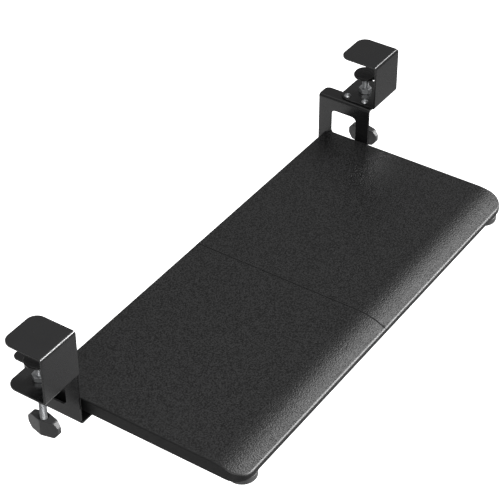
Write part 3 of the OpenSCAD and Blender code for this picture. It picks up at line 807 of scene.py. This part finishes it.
def window_net(half_y, half_z, hole_y, hole_z, hole_r, cols, rings=5):
    """Quads of a flat frame between a rectangle and a rounded window in it, both about the origin.

    Each ring point is outer + f (inner - outer), for f from 0 to 1, side by side round the frame.
    """
    f = np.linspace(0, 1, rings)[:, None]
    arc = cols // 4
    patches = []
    for quarter_turns in range(4):
        outer, hole = (half_y, half_z), (hole_y, hole_z)
        if quarter_turns % 2:
            outer, hole = outer[::-1], hole[::-1]
        outer_y, outer_z = np.linspace(-outer[0], outer[0], cols + 1), np.full(cols + 1, -outer[1])
        inner_y, inner_z = rounded_side(*hole, hole_r, arc, cols - 2 * arc)
        y = outer_y + f * (inner_y - outer_y)
        z = outer_z + f * (inner_z - outer_z)
        c, s = ((1, 0), (0, 1), (-1, 0), (0, -1))[quarter_turns]
        patches.append((points_of(0, c * y - s * z, s * y + c * z), net(rings, cols + 1), 0))
    return joined(patches)


def hanger_patches(sizes):
    """The right-hand hanger: a strip bent to a Z, with a rounded window in its upright web."""
    low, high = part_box("hanger_right")
    edge, steel = sizes.steel_edge, sizes.steel
    middle_r = sizes.bend + steel / 2
    web_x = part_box("tray_board_right")[1].x + sizes.hanger_gap + steel / 2
    upper = high.x - web_x - middle_r
    web = high.z - low.z - steel - 2 * middle_r
    lower = web_x - low.x - middle_r
    arc = middle_r * math.pi / 2
    knots = np.cumsum([0, upper, arc, web, arc, lower])
    headings = np.pi * np.array([1, 1, 1.5, 1.5, 1, 1])
    half = (high.y - low.y) / 2
    centre_y = (low.y + high.y) / 2
    bend_rows, flange_rows, cols = 9, 7, 24
    bends = [np.linspace(*knots[i:i + 2], bend_rows) for i in (1, 3)]
    between = np.concatenate([*bends, np.linspace(*knots[4:6], flange_rows)[1:]])
    corner = sizes.hanger_corner
    stations, widths = strip_rows(knots[-1], half, corner, corner, edge, between)
    along, up, heading = bent_line(stations, knots, headings)
    u = np.linspace(-1, 1, cols + 1)
    flanges = points_of(
        (high.x + along)[:, None], centre_y + widths[:, None] * u, (high.z - steel / 2 + up)[:, None]
    )
    quads = net(len(stations), cols + 1)
    row = quads[:, 0] // (cols + 1)
    quads = quads[~np.isclose(stations[row], knots[2])]
    frame_points, frame_quads, _ = window_net(
        half - edge, web / 2, half - sizes.band + edge, (high.z - low.z) / 2 - sizes.band + edge,
        sizes.window_corner + edge, cols,
    )
    frame_points = frame_points + (web_x, centre_y, (low.z + high.z) / 2)
    points, quads, _ = joined([(flanges, quads, 0), (frame_points, frame_quads, 0)])
    web_normal = np.broadcast_to(LEFT, frame_points.shape)
    normal = np.concatenate([strip_normals(heading, 0, cols + 1), web_normal])
    return sheet_patches(points, normal, quads, steel, edge)


def rail_patches(sizes):
    """The right-hand rail: a C section with its lips turned in below, carried along Y."""
    low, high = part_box("tray_rail_right")
    edge, sheet = sizes.rail_edge, sizes.rail_sheet
    middle_r = sizes.rail_bend + sheet / 2
    width, height = high.x - low.x, high.z - low.z
    lip = (width - sizes.rail_slot) / 2 - sheet / 2 - middle_r
    wall = height - sheet - 2 * middle_r
    roof = width - sheet - 2 * middle_r
    arc = middle_r * math.pi / 2
    knots = np.cumsum([0, lip, arc, wall, arc, roof, arc, wall, arc, lip])
    headings = np.pi / 2 * np.array([0, 0, 1, 1, 2, 2, 3, 3, 4, 4])
    rows, cols = 7, 12
    legs = [np.linspace(*knots[i:i + 2], rows) for i in range(len(knots) - 1)]
    stations = np.unique(np.concatenate(legs))
    stations[0], stations[-1] = edge, knots[-1] - edge
    along, up, heading = bent_line(stations, knots, headings)
    y = np.linspace(low.y + edge, high.y - edge, cols)
    mid = points_of(
        ((low.x + high.x + sizes.rail_slot) / 2 + along)[:, None], y, (low.z + sheet / 2 + up)[:, None]
    )
    return sheet_patches(mid, strip_normals(heading, 0, cols), net(len(stations), cols), sheet, edge)


def flat_patches(node, start_corner, end_corner, edge, along_y=False):
    """A flat plate with rounded corners in a node's box, drawn as a strip along X or along Y."""
    low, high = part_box(node)
    size = high - low
    total, half = (size.y, size.x / 2) if along_y else (size.x, size.y / 2)
    rows, cols = 13, 9
    between = np.linspace(0, total, rows)
    stations, widths = strip_rows(total, half, start_corner, end_corner, edge, between)
    across = widths[:, None] * np.linspace(-1, 1, cols)
    run = np.broadcast_to(stations[:, None], across.shape)
    if along_y:
        x, y = (low.x + high.x) / 2 + across, low.y + run
    else:
        x, y = low.x + run, (low.y + high.y) / 2 + across
    quads = net(*across.shape)
    return plate(points_of(x, y, high.z), points_of(x, y, low.z), quads, edge, edge, DOWN)


def cut_bar_outline(half_y, half_z, cut_y, cut_z, corner, inset):
    """Outline in Y and Z of a bar with its corners cut off, as points (y, z) inset from it.

    Eight sides with their normals at angles n, each at d = half . |normal| from the middle. Each
    corner is an arc from one normal to the next, about the place where both sides, moved in by the
    corner's radius, meet. Each side is a straight run to the next arc.
    """
    slant = math.atan2(cut_y, cut_z)
    n = np.array([0, slant, np.pi / 2, np.pi - slant])
    n = np.concatenate([n, n + np.pi])
    slant_reach = (half_y - cut_y) * math.cos(slant) + half_z * math.sin(slant)
    d = np.tile([half_y, slant_reach, half_z, slant_reach], 2) - corner
    after_n, after_d = np.roll(n, -1), np.roll(d, -1)
    spread = np.sin(after_n - n)
    corner_y = (d * np.sin(after_n) - after_d * np.sin(n)) / spread
    corner_z = (after_d * np.cos(n) - d * np.cos(after_n)) / spread
    arc_steps, side_steps = 5, 8
    share = np.linspace(0, 1, arc_steps + 1)
    turn = n[:, None] + (after_n - n)[:, None] % (2 * np.pi) * share
    y = corner_y[:, None] + (corner - inset) * np.cos(turn)
    z = corner_z[:, None] + (corner - inset) * np.sin(turn)
    run = np.linspace(0, 1, side_steps + 1)[1:-1]
    side_y = y[:, -1:] + (np.roll(y[:, 0], -1)[:, None] - y[:, -1:]) * run
    side_z = z[:, -1:] + (np.roll(z[:, 0], -1)[:, None] - z[:, -1:]) * run
    return np.concatenate([y, side_y], axis=1).reshape(-1), np.concatenate([z, side_z], axis=1).reshape(-1)


def knob_patches(sizes):
    """The right-hand wing knob, upright in Y and Z: a bar with cut corners, and a ridge down each face.

    A face's points are f times the outline, for f from 0 to 1, at half the middle's thickness less
    slope * |y|, where |y| is softened at the ridge.
    """
    low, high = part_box("knob_right")
    centre = (low + high) / 2
    edge, soft = sizes.knob_edge, 0.5 * MM
    span, height = high.y - low.y, high.z - low.z
    y, z = cut_bar_outline(
        span / 2, height / 2, sizes.knob_cut_y, sizes.knob_cut_z, sizes.knob_corner, edge
    )
    rings = 15
    f = np.linspace(0, 1, rings)[:, None]
    y, z = f * y, f * z
    waist = high.x - low.x
    slope = (waist - sizes.knob_tip) / span
    half = waist / 2 - slope * (np.sqrt(y * y + soft * soft) - soft)
    right, left = (points_of(centre.x + side * half, centre.y + y, centre.z + z) for side in (1, -1))
    return plate(right, left, net(*y.shape, wrap_cols=True), edge, edge, LEFT)


def well_patch(sizes):
    """The space cut out of the right-hand knob: a round well in its top, and the screw's bore below."""
    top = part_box("knob_right")[1].z
    screw_low, screw_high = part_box("clamp_screw_right")
    bore_r = (screw_high.x - screw_low.x) / 2
    seat = top - sizes.knob_well
    rows = [(0, screw_low.z), (bore_r, screw_low.z), (bore_r, seat)]
    rows += [(bore_r + sizes.knob_well_gap, seat), (bore_r + sizes.knob_well_gap, top + sizes.knob_well)]
    rows += [(0, top + sizes.knob_well)]
    return placed(turned(rows), (SCREW_AXIS[0], SCREW_AXIS[1], 0))


def cut_away(piece, cutter):
    """Cuts one piece's shape out of another, and removes the cutter."""
    cut = piece.modifiers.new("cut", "BOOLEAN")
    cut.object = cutter
    cut.operation = "DIFFERENCE"
    graph = bpy.context.evaluated_depsgraph_get()
    mesh = bpy.data.meshes.new_from_object(piece.evaluated_get(graph))
    piece.modifiers.clear()
    piece.data = mesh
    mesh.set_sharp_from_angle(angle=math.radians(SHARP_ANGLE))
    bpy.data.objects.remove(cutter)


def stop_patch(size):
    """A round stop about the Z axis from z = 0 up: a hollow under it for its screw, and a neck on top."""
    radius, height = size[0] / 2, size[2]
    hollow_r, hollow_h = 4.4 * MM, 5 * MM
    neck_r, neck_h = radius - 2.5 * MM, 1.8 * MM
    lip, foot, shoulder = 0.6 * MM, 2.2 * MM, 1.0 * MM
    rows = [(0, hollow_h), (hollow_r, hollow_h)]
    rows += quarter(hollow_r + lip, lip, lip, 180, 270)
    rows += quarter(radius - foot, foot, foot, 270, 360, steps=8)
    rows += quarter(radius - shoulder, height - neck_h - shoulder, shoulder, 0, 90)
    rows += [(neck_r, height - neck_h), (neck_r, height), (0, height)]
    return turned(rows, FINE_AROUND)


def pad_patch(size):
    """A pressure pad about the Z axis from z = 0 up: a boss with a fillet, under a round plate."""
    plate_r, height = size[0] / 2, size[2]
    plate_h, boss_r, bore_r = 2.5 * MM, 8 * MM, 3.05 * MM
    rim, fillet = 0.5 * MM, 1.2 * MM
    seat = height - plate_h
    rows = [(0, seat), (bore_r, seat), (bore_r, 0), (boss_r - rim, 0)]
    rows += quarter(boss_r - rim, rim, rim, 270, 360)
    rows += quarter(boss_r + fillet, seat - fillet, fillet, 180, 90)
    rows += quarter(plate_r - rim, seat + rim, rim, 270, 360)
    rows += quarter(plate_r - rim, height - rim, rim, 0, 90)
    rows += [(0, height)]
    return turned(rows, FINE_AROUND)


def face_patch(size):
    """The soft face on a pressure pad about the Z axis from z = 0 up, with shallow rings in it.

    The rings are depth * smooth_step(cos(6 pi r / radius) - 0.2) deep.
    """
    radius, height = size[0] / 2, size[2]
    rim, depth = 1 * MM, 0.25 * MM
    r = np.linspace(0, radius - rim, 40)
    ripple = depth * smooth_step(np.cos(r / (radius / 3) * 2 * np.pi) - 0.2)
    rows = [(0, 0), (radius, 0)] + quarter(radius - rim, height - rim, rim, 0, 90)
    rows += list(zip(r[::-1], (height - ripple)[::-1]))
    return turned(rows, FINE_AROUND)


def domed_bolt(size):
    """A bolt in a box of that size, its shank up from z = 0 to a domed head with a hexagon socket."""
    head_r, head_h, shank_r, chamfer = size[0] / 2, 3.3 * MM, 3 * MM, 0.6 * MM
    shank = size[2] - head_h
    dome_r = (head_r * head_r + head_h * head_h) / (2 * head_h)
    r = np.linspace(0, head_r, 24)
    crown = list(zip(r, size[2] - dome_r + np.sqrt(dome_r * dome_r - r * r)))
    rows = crown + [(shank_r, shank), (shank_r, chamfer), (shank_r - chamfer, 0), (0, 0)]
    return screw_patch(rows, len(crown), head_r, -head_h * 0.6, hexagon=True)


def countersunk_screw(size):
    """A countersunk screw in a box of that size, its flat head down at z = 0 and its shank up."""
    head_r, head_h, total = size[0] / 2, 2 * MM, size[2]
    shank_r, rim, point, tip_r = 2 * MM, 0.1 * MM, 1 * MM, 0.5 * MM
    crown = [(head_r * f, 0) for f in np.linspace(0, 0.97, CROWN_ROWS)]
    rows = crown + [(head_r, rim), (shank_r, head_h), (shank_r, total - point), (tip_r, total), (0, total)]
    return screw_patch(rows, len(crown), head_r, head_h * 0.7)


def clamp_screw_patches(sizes, side):
    """A clamp screw: a threaded rod, and on top of it the pivot that the pressure pad turns on."""
    low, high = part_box(f"clamp_screw_{side}")
    gap, root, pivot_r, chamfer = 0.2 * MM, 1 * MM, 3 * MM, 0.4 * MM
    rod_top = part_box(f"pressure_pad_{side}")[0].z - gap
    rod = threaded_rod((high.x - low.x) / 2, low.z, rod_top, sizes.thread_pitch, sizes.thread_depth)
    rows = [(0, rod_top - root), (pivot_r, rod_top - root), (pivot_r, high.z - chamfer)]
    pivot = turned(rows + [(pivot_r - chamfer, high.z), (0, high.z)])
    axis = (SIDES[side] * SCREW_AXIS[0], SCREW_AXIS[1], 0)
    return [placed(patch, axis) for patch in (rod, pivot)]


def stood(low, high, make):
    """A patch made about the Z axis for the size of a box, and stood in the middle of that box."""
    centre = (low + high) / 2
    return placed(make(high - low), (centre[0], centre[1], low[2]))


def build(name, node, patches, *finishes, sharp_angle=SHARP_ANGLE):
    """A piece in place of a node of the frame."""
    stand_for(make_piece(name, patches, finishes, sharp_angle), node)


def build_pair(name, node, patches, *finishes):
    """A right-hand piece and its left-hand twin, each in place of its own node."""
    for side, sign in SIDES.items():
        build(f"{name}_{side}", f"{node}_{side}", [placed(p, side=sign) for p in patches], *finishes)


def fasteners(node, make):
    """One piece for all the like fasteners of a node, each stood in its own solid's box."""
    patches = [stood(low, high, make) for low, high in zip(*islands(node))]
    build(f"{node}_plated", node, patches, "zinc_plate", sharp_angle=30)


class TRAY_OT_boards(bpy.types.Operator):
    """Builds the two wrapped boards of the tray"""

    bl_idname = "tray.boards"
    bl_label = "Boards"

    def execute(self, context):
        core, band = board_patches(context.scene.tray_sizes)
        wraps = ("grained_laminate", "drawn_edge", "plain_edging")
        build_pair("board", "tray_board", core, *wraps)
        build_pair("edge_band", "tray_board", band, *wraps)
        return {"FINISHED"}


class TRAY_OT_board_joint(bpy.types.Operator):
    """Builds the plates and screws that tie the boards together, and dresses their dowels"""

    bl_idname = "tray.board_joint"
    bl_label = "Joint between the boards"

    def execute(self, context):
        sizes = context.scene.tray_sizes
        for end in ("front", "rear"):
            node = f"joining_plate_{end}"
            patches = flat_patches(node, sizes.tie_corner, sizes.tie_corner, sizes.tie_edge)
            build(f"tie_plate_{end}", node, patches, "zinc_plate")
        fasteners("joining_screws", wood_screw)
        dress("joining_dowels", "plain_beech")
        return {"FINISHED"}


class TRAY_OT_rails(bpy.types.Operator):
    """Builds the rails under the boards' ends, and their screws"""

    bl_idname = "tray.rails"
    bl_label = "Rails"

    def execute(self, context):
        build_pair("rail", "tray_rail", rail_patches(context.scene.tray_sizes), "powder_coat")
        fasteners("rail_screws", wood_screw)
        return {"FINISHED"}


class TRAY_OT_stops(bpy.types.Operator):
    """Builds the round front stops and all stop screws, and dresses the plugs in the rails"""

    bl_idname = "tray.stops"
    bl_label = "Stops"

    def execute(self, context):
        for side in SIDES:
            node = f"front_stop_{side}"
            build(f"round_stop_{side}", node, [stood(*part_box(node), stop_patch)], "grey_rubber")
            dress(f"rear_stop_{side}", "moulded_plastic")
        fasteners("stop_screws", wood_screw)
        return {"FINISHED"}


class TRAY_OT_clamps(bpy.types.Operator):
    """Builds the bent C clamps and the soft pads under their top plates"""

    bl_idname = "tray.clamps"
    bl_label = "Clamps"

    def execute(self, context):
        sizes = context.scene.tray_sizes
        build_pair("bent_clamp", "clamp", clamp_patches(sizes), "powder_coat")
        for side in SIDES:
            node = f"jaw_pad_{side}"
            corners = (sizes.pad_front_corner, sizes.pad_rear_corner)
            patches = flat_patches(node, *corners, sizes.pad_edge, along_y=True)
            build(f"soft_pad_{side}", node, patches, "matt_rubber")
        return {"FINISHED"}


class TRAY_OT_clamp_screws(bpy.types.Operator):
    """Builds the threaded clamp screws, their nuts and their pressure pads"""

    bl_idname = "tray.clamp_screws"
    bl_label = "Clamp screws"

    def execute(self, context):
        sizes = context.scene.tray_sizes
        for side in SIDES:
            screw, nut = f"clamp_screw_{side}", f"clamp_nut_{side}"
            pad, face = f"pressure_pad_{side}", f"pad_face_{side}"
            nut_patch = stood(*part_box(nut), lambda size: hexagon_nut(size, sizes.clamp_nut_bore))
            build(f"threaded_screw_{side}", screw, clamp_screw_patches(sizes, side), "zinc_plate")
            build(f"hexagon_nut_{side}", nut, [nut_patch], "zinc_plate", sharp_angle=25)
            build(f"round_pad_{side}", pad, [stood(*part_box(pad), pad_patch)], "powder_coat")
            build(f"soft_face_{side}", face, [stood(*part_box(face), face_patch)], "matt_rubber")
        return {"FINISHED"}


class TRAY_OT_knobs(bpy.types.Operator):
    """Builds the wing knobs of the clamp screws"""

    bl_idname = "tray.knobs"
    bl_label = "Wing knobs"

    def execute(self, context):
        sizes = context.scene.tray_sizes
        plastic = ["moulded_plastic"]
        patches, well = knob_patches(sizes), well_patch(sizes)
        for side, sign in SIDES.items():
            knob = make_piece(f"wing_knob_{side}", [placed(p, side=sign) for p in patches], plastic)
            cut_away(knob, make_piece(f"knob_well_{side}", [placed(well, side=sign)], plastic))
            stand_for(knob, f"knob_{side}")
        return {"FINISHED"}


class TRAY_OT_hangers(bpy.types.Operator):
    """Builds the bent hangers with their windows, and the bolts and nuts that hold them"""

    bl_idname = "tray.hangers"
    bl_label = "Hangers"

    def execute(self, context):
        sizes = context.scene.tray_sizes
        build_pair("bent_hanger", "hanger", hanger_patches(sizes), "powder_coat")
        fasteners("hanger_bolts", domed_bolt)
        fasteners("hanger_nuts", lambda size: hexagon_nut(size, sizes.bolt_nut_bore))
        return {"FINISHED"}


class TRAY_OT_glides(bpy.types.Operator):
    """Dresses the glides that run in the rails, and builds their countersunk screws"""

    bl_idname = "tray.glides"
    bl_label = "Glides"

    def execute(self, context):
        for side in SIDES:
            for end in ("front", "rear"):
                dress(f"glide_{end}_{side}", "natural_nylon")
        fasteners("glide_screws", countersunk_screw)
        return {"FINISHED"}


def show_from_above(finish, surface):
    """Makes a surface of the stage clear from below."""
    below = finish.node("ShaderNodeNewGeometry").outputs["Backfacing"]
    clear = finish.node("ShaderNodeBsdfTransparent").outputs["BSDF"]
    mix = finish.node("ShaderNodeMixShader", {0: below, 1: surface, 2: clear})
    finish.tree.links.new(mix.outputs["Shader"], finish.tree.nodes["Material Output"].inputs["Surface"])


def pale_floor(studio):
    """A pale matt floor with a faint light of its own."""
    finish = Finish("pale_floor", studio.floor_tint, roughness=0.9)
    finish.set("Emission Color", WHITE)
    finish.set("Emission Strength", studio.floor_glow)
    finish.set("Specular IOR Level", 0.1)
    show_from_above(finish, finish.shader.outputs["BSDF"])
    return finish.material


def pools_of_light(studio):
    """A clear sheet that sheds an even light and three oval pools of it.

    A pool fades out between two shares of its reach, quickly or softly.
    """
    quick_rim, soft_rim = (1.0, 1.18), (0.6, 1.2)
    finish = Finish("pools_of_light", (0, 0, 0), roughness=1.0)

    def out_from(centre, reach):
        values = {
            "Location": (*centre, -studio.floor_drop),
            "Rotation": (0, 0, math.radians(90 + studio.azimuth)),
            "Scale": (*reach, 1),
        }
        oval = finish.node("ShaderNodeMapping", {"Vector": finish.where}, values, vector_type="TEXTURE")
        away = finish.node("ShaderNodeVectorMath", {0: oval.outputs["Vector"]}, operation="LENGTH")
        return away.outputs["Value"]

    away = out_from(studio.pool_centre, studio.pool_reach)
    glow = finish.ranged(away, studio.pool_glow, studio.bounce_glow, *quick_rim)
    for centre, reach, strength in (
        (studio.fill_centre, studio.fill_reach, studio.fill_glow),
        (studio.near_centre, studio.near_reach, studio.near_glow),
    ):
        glow = finish.added(glow, finish.ranged(out_from(centre, reach), strength, 0, *soft_rim), 1.0)
    finish.link(glow, "Emission Strength")
    finish.set("Emission Color", WHITE)
    finish.set("Specular IOR Level", 0)
    clear = finish.node("ShaderNodeBsdfTransparent").outputs["BSDF"]
    both = finish.node("ShaderNodeAddShader", {0: finish.shader.outputs["BSDF"], 1: clear})
    show_from_above(finish, both.outputs["Shader"])
    return finish.material


def left_out(name, things):
    """A collection for light linking that leaves some things out."""
    group = bpy.data.collections.new(name)
    for thing in things:
        group.objects.link(thing)
    for held in group.collection_objects:
        held.light_linking.link_state = "EXCLUDE"
    return group


def level_sheet(name, height, material):
    """A wide level sheet of the stage."""
    reach = 25.0
    mesh = bpy.data.meshes.new(name)
    corners = [(-reach, -reach), (reach, -reach), (reach, reach), (-reach, reach)]
    mesh.from_pydata([(x, y, height) for x, y in corners], [], [(0, 1, 2, 3)])
    mesh.materials.append(material)
    sheet = bpy.data.objects.new(name, mesh)
    bpy.context.scene.collection.objects.link(sheet)
    return sheet


def camera_matrix(studio):
    """The camera's place and turn: it looks along -back, rolled about that line."""
    a, e, r = (math.radians(v) for v in (studio.azimuth, studio.elevation, studio.roll))
    back = Vector((math.sin(a) * math.cos(e), -math.cos(a) * math.cos(e), math.sin(e)))
    right = Vector((math.cos(a), math.sin(a), 0))
    up = back.cross(right)
    rolled_right = math.cos(r) * right + math.sin(r) * up
    rolled_up = math.cos(r) * up - math.sin(r) * right
    turn = Matrix((rolled_right, rolled_up, back)).transposed()
    return Matrix.Translation(studio.place) @ turn.to_4x4()


def set_camera(scene, studio):
    """The camera at the photograph's angle."""
    data = bpy.data.cameras.new("camera")
    data.lens = studio.lens
    camera = bpy.data.objects.new("camera", data)
    camera.matrix_world = camera_matrix(studio)
    scene.collection.objects.link(camera)
    scene.camera = camera


def set_sky(scene, studio):
    """An even white light from all round."""
    world = bpy.data.worlds.new("studio")
    world.use_nodes = True
    sky = world.node_tree.nodes["Background"].inputs
    sky["Color"].default_value = WHITE
    sky["Strength"].default_value = studio.sky
    scene.world = world


def soft_light(name, place, aim, size, power, spread=180.0, spared=(), passed=()):
    """A soft light at a place, turned to its aim, with the spread of its beam in degrees.

    Its width and height are given by size. The spared objects aren't lit by it, and those that
    it has passed throw no shadow.
    """
    light = bpy.data.lights.new(name, "AREA")
    light.shape = "RECTANGLE"
    light.size, light.size_y = size
    light.energy = power
    light.spread = math.radians(spread)
    lamp = bpy.data.objects.new(name, light)
    lamp.location = place
    lamp.rotation_euler = (Vector(aim) - Vector(place)).to_track_quat("-Z", "Y").to_euler()
    bpy.context.scene.collection.objects.link(lamp)
    lamp.visible_camera = False
    if spared:
        lamp.light_linking.receiver_collection = left_out(f"unlit_by_{name}", spared)
    if passed:
        lamp.light_linking.blocker_collection = left_out(f"passed_by_{name}", passed)


def set_lights(studio, steel, floor, pieces):
    """The soft lights: a few light only the edges, bends or faces whose highlights they give."""
    clamp_x, clamp_z = SCREW_AXIS[0], -30 * MM
    tray = (0, -0.1, -0.1)

    def all_but(*starts):
        return [floor] + [thing for thing in pieces if not thing.name.startswith(starts)]

    soft_light(
        "key", place=(2.37, -3.06, 1.22), aim=(-0.13, -0.28, -0.2), size=(2.15, 1.2),
        power=studio.key_power, spread=studio.key_spread,
        spared=all_but("edge_band", "wing_knob", "round_stop"),
    )
    soft_light(
        "left_bend", place=(2.23, -1.74, 2.45), aim=(-clamp_x, 0, clamp_z), size=(2.15, 0.6),
        power=studio.left_bend_power, spread=studio.key_spread, spared=all_but("bent_clamp_left"),
    )
    soft_light(
        "right_bend", place=(3.0, -0.94, 2.85), aim=(clamp_x, 0, clamp_z), size=(2.15, 0.4),
        power=studio.right_bend_power, spread=studio.key_spread, spared=all_but("bent_clamp_right"),
    )
    soft_light(
        "plate", place=(0.235, -0.426, -0.613), aim=(-clamp_x, -steel, clamp_z), size=(0.7, 0.7),
        power=studio.plate_power, spared=all_but("bent_clamp_left"), passed=pieces,
    )
    soft_light(
        "sheen", place=(2.61, -1.88, 2.35), aim=tray, size=(2.4, 1.85),
        power=studio.sheen_power, spread=studio.side_spread, spared=all_but("board_"),
    )
    soft_light(
        "side", place=(2.61, -1.14, 2.74), aim=tray, size=(2.4, 1.85),
        power=studio.side_power, spread=studio.side_spread, spared=[floor],
    )
    soft_light(
        "front", place=(-1.96, -1.54, 1.76), aim=(-0.1, -0.1, -0.1), size=(2.4, 1.4),
        power=studio.front_power, spread=studio.front_spread, spared=[floor],
    )
    soft_light(
        "overhead", place=(-0.1, 0.4, 2.0), aim=(-0.1, 0.4, -1), size=(1.8, 1.8), power=studio.top_power
    )


class TRAY_OT_studio(bpy.types.Operator):
    """Sets up the pale floor, the soft lights and the camera"""

    bl_idname = "tray.studio"
    bl_label = "Studio"

    def execute(self, context):
        scene = context.scene
        studio = scene.tray_studio
        scene.view_settings.view_transform = "Standard"
        pieces = [thing for thing in scene.objects if thing.type == "MESH"]
        floor = level_sheet("floor", -studio.floor_drop, pale_floor(studio))
        floor.light_linking.receiver_collection = left_out("unlit_by_floor", pieces)
        clear_lift = 1 * MM
        level_sheet("floor_light", clear_lift - studio.floor_drop, pools_of_light(studio))
        set_camera(scene, studio)
        set_sky(scene, studio)
        set_lights(studio, scene.tray_sizes.steel, floor, pieces)
        return {"FINISHED"}


OPERATORS = (
    TRAY_OT_boards, TRAY_OT_board_joint, TRAY_OT_rails, TRAY_OT_stops, TRAY_OT_clamps,
    TRAY_OT_clamp_screws, TRAY_OT_knobs, TRAY_OT_hangers, TRAY_OT_glides, TRAY_OT_studio,
)


class TRAY_PT_panel(bpy.types.Panel):
    """Lists the tray's pieces and settings"""

    bl_idname = "TRAY_PT_panel"
    bl_label = "Pull-out tray"
    bl_space_type = "VIEW_3D"
    bl_region_type = "UI"
    bl_category = "Tray"

    def draw(self, context):
        for operator in OPERATORS:
            self.layout.operator(operator.bl_idname)
        for group in (context.scene.tray_sizes, context.scene.tray_colours, context.scene.tray_studio):
            box = self.layout.box()
            for name in group.bl_rna.properties.keys():
                if name not in ("rna_type", "name"):
                    box.prop(group, name)


CLASSES = (TraySizes, TrayColours, StudioSettings, *OPERATORS, TRAY_PT_panel)


def register():
    """Registers the classes and puts their settings on the scene."""
    for item in CLASSES:
        bpy.utils.register_class(item)
    bpy.types.Scene.tray_sizes = PointerProperty(type=TraySizes)
    bpy.types.Scene.tray_colours = PointerProperty(type=TrayColours)
    bpy.types.Scene.tray_studio = PointerProperty(type=StudioSettings)


def unregister():
    """Takes the settings and the classes away again."""
    for name in ("tray_sizes", "tray_colours", "tray_studio"):
        delattr(bpy.types.Scene, name)
    for item in reversed(CLASSES):
        bpy.utils.unregister_class(item)


def main():
    register()
    bpy.ops.tray.boards()
    bpy.ops.tray.board_joint()
    bpy.ops.tray.rails()
    bpy.ops.tray.stops()
    bpy.ops.tray.clamps()
    bpy.ops.tray.clamp_screws()
    bpy.ops.tray.knobs()
    bpy.ops.tray.hangers()
    bpy.ops.tray.glides()
    bpy.ops.tray.studio()


if __name__ == "__main__":
    main()
